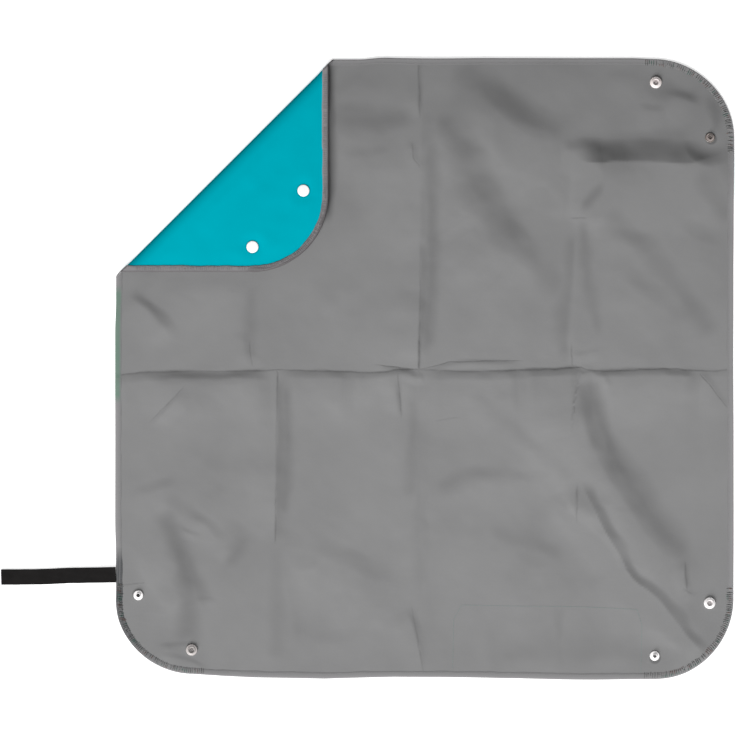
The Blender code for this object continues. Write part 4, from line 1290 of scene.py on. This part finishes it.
limit = np.where((MIDS[:, 0] < 0) & (MIDS[:, 1] > 0), ROLL_IN, BEND_IN)
body = ALL_IN & (SUMS < limit) & (np.abs(MIDS[:, 1]) > MIDDLE)
ob, area = cloth("near_cloth", ALL[body & (MIDS[:, 1] < 0)], seam=lambda p: abs(p[0]) + abs(p[1]) < BEND_IN)
sheets["near_half"] = ob, area
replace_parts(ob, "near_backing_ply", "near_face_ply")
xs = np.arange(-160, 161) * G
rows = [np.stack([xs, np.full_like(xs, v)], 1) for v in np.linspace(-MIDDLE, MIDDLE, 17)]
middle_strip = facing_up(lattice(rows[0], rows[1:]))
ob, area = cloth("far_cloth", np.concatenate([ALL[body & (MIDS[:, 1] > 0)], middle_strip]))
sheets["far_half"] = ob, area
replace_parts(ob, "far_backing_ply", "far_face_ply")

cut, roll_cut, mid_cut = 0.110, 0.095, 0.0125
TAPES = {
    "near_left_side_binding": (run_at(0, 0.3 + mid_cut), run_at(0, 0.3 + cut)),
    "near_left_corner_binding": (run_at(0, 0.3 + cut), run_at(1, 0.3 - cut)),
    "near_edge_binding": (run_at(1, 0.3 - cut), run_at(1, 0.3 + cut)),
    "near_right_corner_binding": (run_at(1, 0.3 + cut), run_at(2, 0.3 - cut)),
    "near_right_side_binding": (run_at(2, 0.3 - cut), run_at(2, 0.3 - mid_cut)),
    "far_right_side_binding": (run_at(2, 0.3 - mid_cut), run_at(2, 0.3 + cut)),
    "far_right_corner_binding": (run_at(2, 0.3 + cut), run_at(3, 0.3 - cut)),
    "far_edge_binding": (run_at(3, 0.3 - cut), run_at(3, 0.3 + roll_cut)),
    "far_left_corner_binding": (run_at(3, 0.3 + roll_cut), run_at(0, 0.3 - roll_cut) + AROUND),
    "far_left_side_binding": (run_at(0, 0.3 - roll_cut) + AROUND, run_at(0, 0.3 + mid_cut) + AROUND),
}
tapes = {}
for node, (start, end) in TAPES.items():
    tapes[node] = tape_run(node, start, end, folded=node.startswith("far_left_corner"))


def bend_of(corner):
    """The half a corner folds from, and the start and end of its bend."""
    sx, sy = CORNERS[corner]
    half = "far_half" if sy > 0 else "near_half"
    if corner == "far_left":
        # for the roll, the bend is given as two points just below and just above the height of its tip
        return half, (0.0, 0.0, AXIS_Z - 0.000002), (0.0, 0.0, AXIS_Z + 0.000002)
    a, b = BEND_IN / 2, BEND_OUT / 2
    return half, (sx * a + MAT_X, sy * a, 0.0), (sx * b + MAT_X, sy * b, 0.0)


for corner in CORNERS:
    half, start, end = bend_of(corner)
    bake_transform(sheets[corner][0])
    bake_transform(tapes[corner + "_corner_binding"])
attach(sheets["near_half"][0], "near_half")
for node in ("near_left_side_binding", "near_edge_binding", "near_right_side_binding"):
    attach(tapes[node], "near_half")
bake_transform(sheets["far_half"][0])
for node in ("far_left_side_binding", "far_right_side_binding"):
    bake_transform(tapes[node])
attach(tapes["far_edge_binding"], "far_half")


# ---------------------------------------------------------------- press fasteners


def lathe(profile, steps=72):
    """A turned solid from (radius, height) points that start and end on the axis, or close on themselves."""
    prof = np.array(profile)
    closed = prof[0, 0] > 1e-9
    turn = 2 * math.pi * np.arange(steps) / steps
    verts, rows_ = [], []
    for r, z in prof:
        if r < 1e-9:
            rows_.append([len(verts)] * steps)
            verts.append((0.0, 0.0, z))
        else:
            rows_.append(list(range(len(verts), len(verts) + steps)))
            verts += [(r * math.cos(t), r * math.sin(t), z) for t in turn]
    faces = []
    pairs = list(zip(rows_, rows_[1:])) + ([(rows_[-1], rows_[0])] if closed else [])
    for a, b in pairs:
        for i in range(steps):
            j = (i + 1) % steps
            face = []
            for v in (a[i], b[i], b[j], a[j]):
                if v not in face:
                    face.append(v)
            if len(face) > 2:
                faces.append(tuple(face))
    return np.array(verts), faces


def rounded(points, radius, steps=4):
    """Rounds the inner corners of a (radius, height) line by up to radius."""
    pts = [np.array(p, float) for p in points]
    made = [pts[0]]
    for a, b, c in zip(pts, pts[1:], pts[2:]):
        u1, u2 = a - b, c - b
        l1, l2 = np.linalg.norm(u1), np.linalg.norm(u2)
        cut_ = min(radius, l1 * 0.42, l2 * 0.42)
        p, q = b + u1 / l1 * cut_, b + u2 / l2 * cut_
        for t in np.linspace(0, 1, steps + 1):
            made.append((1 - t) ** 2 * p + 2 * t * (1 - t) * b + t**2 * q)
    made.append(pts[-1])
    return [tuple(p) for p in made]


PLATE = 0.0019
SOCKET = rounded(
    [
        (0.00310, PLATE + 0.00095), (0.00335, PLATE + 0.0016), (0.00325, PLATE + 0.0024), (0.00345, PLATE + 0.0030),
        (0.00420, PLATE + 0.0032), (0.00505, PLATE + 0.0030), (0.00560, PLATE + 0.0024), (0.00640, PLATE + 0.0023),
        (0.00715, PLATE + 0.0020), (0.00755, PLATE + 0.0012), (0.00758, PLATE + 0.0005), (0.00735, PLATE),
        (0.00150, PLATE), (0.00150, PLATE + 0.0009), (0.00310, PLATE + 0.00095),
    ],
    0.00030,
)[:-1]
STUD = rounded(
    [
        (0.00225, PLATE + 0.0010), (0.00225, PLATE + 0.0028), (0.00245, PLATE + 0.0032), (0.00285, PLATE + 0.0032),
        (0.00318, PLATE + 0.0026), (0.00290, PLATE + 0.0016), (0.00300, PLATE + 0.0012), (0.00480, PLATE + 0.0012),
        (0.00540, PLATE + 0.0014), (0.00600, PLATE + 0.0011), (0.00640, PLATE + 0.0006), (0.00625, PLATE),
        (0.00150, PLATE), (0.00150, PLATE + 0.0009), (0.00225, PLATE + 0.0010),
    ],
    0.00022,
)[:-1]
CAP = rounded(
    [
        (0.0, PLATE + 0.00172), (0.00150, PLATE + 0.00165), (0.00205, PLATE + 0.00135), (0.00135, PLATE + 0.00108),
        (0.00120, PLATE + 0.00090), (0.00120, 0.00078), (0.00700, 0.00075), (0.00765, 0.00052), (0.00770, 0.00032),
        (0.00710, 0.00012), (0.00620, 0.00006), (0.00400, 0.00004), (0.0, 0.00003),
    ],
    0.00025,
)


def put(corner, verts):
    """Flat points of a rigid piece where its corner lies."""
    v = np.array(verts, float)
    if corner == "far_left":
        v = np.stack([v[:, 1] - K, v[:, 0] + K, 2 * AXIS_Z - v[:, 2]], 1)
    v[:, 0] += MAT_X
    return v


for corner, kind, (fx, fy) in fastener_spots():
    for piece, profile, mat, slot in (
        (kind, SOCKET if kind == "socket" else STUD, FASTENER_FINISH[f"{corner}_{kind}"], "fastener"),
        (kind + "_cap", CAP, CAP_PLASTIC[f"{corner}_{kind}"], "fastener_cap"),
    ):
        turned, faces = lathe(profile)
        verts = turned + np.array([fx, fy, 0.0])
        faces = [f[::-1] for f in faces]
        node = f"{corner}_{piece}"
        ob = make(node + "_moulding", put(corner, verts), faces, [mat], data={"turned_place": turned})
        ob.data.set_sharp_from_angle(angle=math.radians(55))
        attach(ob, corner + "_corner")
        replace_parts(ob, node)

# ---------------------------------------------------------------- elastic loop

STRAP_L, STRAP_W, TURN = 0.1490, 0.0200, math.radians(1.35)


def strap_mesh():
    """Two layers of ribbed elastic that turn back at the free end: a centre line seen from the side, swept across the width."""
    thick, gap = 0.0007, 0.0003
    middle = (thick + gap) / 2
    straight = STRAP_L - thick - gap / 2 + 0.0003
    along = list(np.arange(0.0, straight, 0.0006)) + [straight]
    path = [(s, middle) for s in along]
    path += [(straight + middle * math.sin(t), middle * math.cos(t)) for t in np.linspace(0, math.pi, 9)[1:-1]]
    path += [(s, -middle) for s in along[::-1]]
    path = np.array(path)
    step = np.gradient(path, axis=0)
    step /= np.linalg.norm(step, axis=1)[:, None]
    normal = np.stack([-step[:, 1], step[:, 0]], 1)
    length = np.r_[0, np.cumsum(np.linalg.norm(np.diff(path, axis=0), axis=1))]
    across_ = np.linspace(-STRAP_W / 2, STRAP_W / 2, 53)
    rib = 0.00007 * np.cos(2 * math.pi * across_ / 0.00154)
    edge_soft = np.sqrt(np.clip(1 - (np.abs(across_) / (STRAP_W / 2)) ** 30, 0.10, 1))
    half = (thick / 2 - 0.00007) * edge_soft + rib * edge_soft
    pick = 1 + 0.035 * np.sin(2 * math.pi * length / 0.0024)
    skin = []
    for side in (1, -1):
        off = side * half[None, :] * pick[:, None]
        p = path[:, None, :] + normal[:, None, :] * off[..., None]
        y = np.broadcast_to(across_, off.shape) + 0.00012 * waves(length, length * 0, 0.012, 71)[:, None]
        skin.append(np.stack([p[..., 0], y, p[..., 1]], -1))
    m, k = len(path), len(across_)
    verts = np.concatenate([skin[0].reshape(-1, 3), skin[1].reshape(-1, 3)])
    top = np.arange(m * k).reshape(m, k)
    low = top + m * k
    faces = []
    for i in range(m - 1):
        for j in range(k - 1):
            faces.append((top[i, j], top[i + 1, j], top[i + 1, j + 1], top[i, j + 1])[::-1])
            faces.append((low[i, j], low[i + 1, j], low[i + 1, j + 1], low[i, j + 1]))
        faces.append((top[i, 0], top[i + 1, 0], low[i + 1, 0], low[i, 0]))
        faces.append((top[i, -1], top[i + 1, -1], low[i + 1, -1], low[i, -1])[::-1])
    for j in range(k - 1):
        faces.append((top[0, j], top[0, j + 1], low[0, j + 1], low[0, j])[::-1])
        faces.append((top[-1, j], top[-1, j + 1], low[-1, j + 1], low[-1, j]))
    faces = [tuple(int(i) for i in f) for f in faces]
    run = np.repeat(length, k)
    spot = np.column_stack([np.tile(across_, m), run, np.zeros(m * k)])
    spot = np.concatenate([spot, spot + np.array([0.0, 0.5, 0.0])])
    # it sinks from its seam to the table, with a slight wave
    x = verts[:, 0]
    verts[:, 2] += 0.0024 - 0.00080 * smooth(x / 0.0045) - 0.00070 * smooth((x - 0.004) / 0.045) + 0.00010 * waves(x, x * 0, 0.03, 72) * smooth(x / 0.03)
    verts[:, 2] += 0.00006
    verts[:, 1] += 0.0006 * smooth(x / STRAP_L) * waves(x, x * 0, 0.05, 73)
    c, s = math.cos(math.pi + TURN), math.sin(math.pi + TURN)
    px = MAT_X - A + x * c - verts[:, 1] * s
    py = SEAM_Y + x * s + verts[:, 1] * c
    return np.stack([px, py, verts[:, 2]], 1), faces, spot


verts, faces, spot = strap_mesh()
strap = make("elastic_loop", verts, faces, [WEBBING], None, None, {"strap_place": spot})
strap.data.set_sharp_from_angle(angle=math.radians(60))
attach(strap, "strap")
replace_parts(strap, "elastic_strap")

# ---------------------------------------------------------------- the cloths' flat sizes, read back and left unused

for corner in CORNERS:
    ob, area = sheets[corner]
for half, nodes in (
    ("near_half", ("near_left_side_binding", "near_edge_binding", "near_right_side_binding")),
    ("far_half", ("far_left_side_binding", "far_edge_binding", "far_right_side_binding")),
):
    ob, area = sheets[half]

# ---------------------------------------------------------------- table, light and camera

table = bpy.data.meshes.new("table")
half_side = 4.0
table.from_pydata(
    [(-half_side, -half_side, 0), (half_side, -half_side, 0), (half_side, half_side, 0), (-half_side, half_side, 0)],
    [],
    [(0, 1, 2, 3)],
)
table_ob = bpy.data.objects.new("table", table)
table_ob.location = (0.0, 0.0, -0.0002)
bpy.context.scene.collection.objects.link(table_ob)
pale = bpy.data.materials.new("pale_table")
pale.use_nodes = True
shader = pale.node_tree.nodes["Principled BSDF"]
shader.inputs["Base Color"].default_value = (0.90, 0.90, 0.90, 1)
shader.inputs["Roughness"].default_value = 0.9
shader.inputs["Specular IOR Level"].default_value = 0.1
shader.inputs["Emission Color"].default_value = (1, 1, 1, 1)
shader.inputs["Emission Strength"].default_value = 0.55
table.materials.append(pale)


def pool_light(name, place_at, aim, angle, blend_, power, radius):
    light = bpy.data.lights.new(name, "SPOT")
    light.spot_size, light.spot_blend = angle, blend_
    light.shadow_soft_size = radius
    light.energy = power
    ob_ = bpy.data.objects.new(name, light)
    ob_.location = place_at
    ob_.rotation_mode = "QUATERNION"
    ob_.rotation_quaternion = (Vector(aim) - Vector(place_at)).to_track_quat("-Z", "Y")
    bpy.context.scene.collection.objects.link(ob_)
    return ob_


key = bpy.data.lights.new("key", "SUN")
key.energy = 4.95
key.angle = math.radians(38.0)
key_ob = bpy.data.objects.new("key", key)
KEY = Vector((-0.36, -0.93, 0.0)).normalized() * math.cos(math.radians(27.0))
KEY.z = math.sin(math.radians(27.0))
key_ob.rotation_mode = "QUATERNION"
key_ob.rotation_quaternion = (-KEY).to_track_quat("-Z", "Y")
bpy.context.scene.collection.objects.link(key_ob)
pool = pool_light("pool", (0.07, -1.0, 4.5), (0.07, -0.18, 0.0), math.radians(15.6), 1.0, 235.0, 0.30)
pool.scale = (2.2, 1.0, 1.0)

world = bpy.data.worlds.new("room")
bpy.context.scene.world = world
world.use_nodes = True
world.node_tree.nodes["Background"].inputs[0].default_value = (1, 1, 1, 1)
world.node_tree.nodes["Background"].inputs[1].default_value = 0.18

camera = bpy.data.cameras.new("camera")
camera.sensor_width = 36.0
camera.lens = 36.0 * (3.0 - 0.002) / 0.9530
camera.clip_start, camera.clip_end = 0.05, 50.0
camera_ob = bpy.data.objects.new("camera", camera)
camera_ob.location = (0.00066, 0.00052, 3.0)
bpy.context.scene.collection.objects.link(camera_ob)
bpy.context.scene.camera = camera_ob
bpy.context.scene.view_settings.view_transform = "Standard"

bpy.context.view_layer.update()
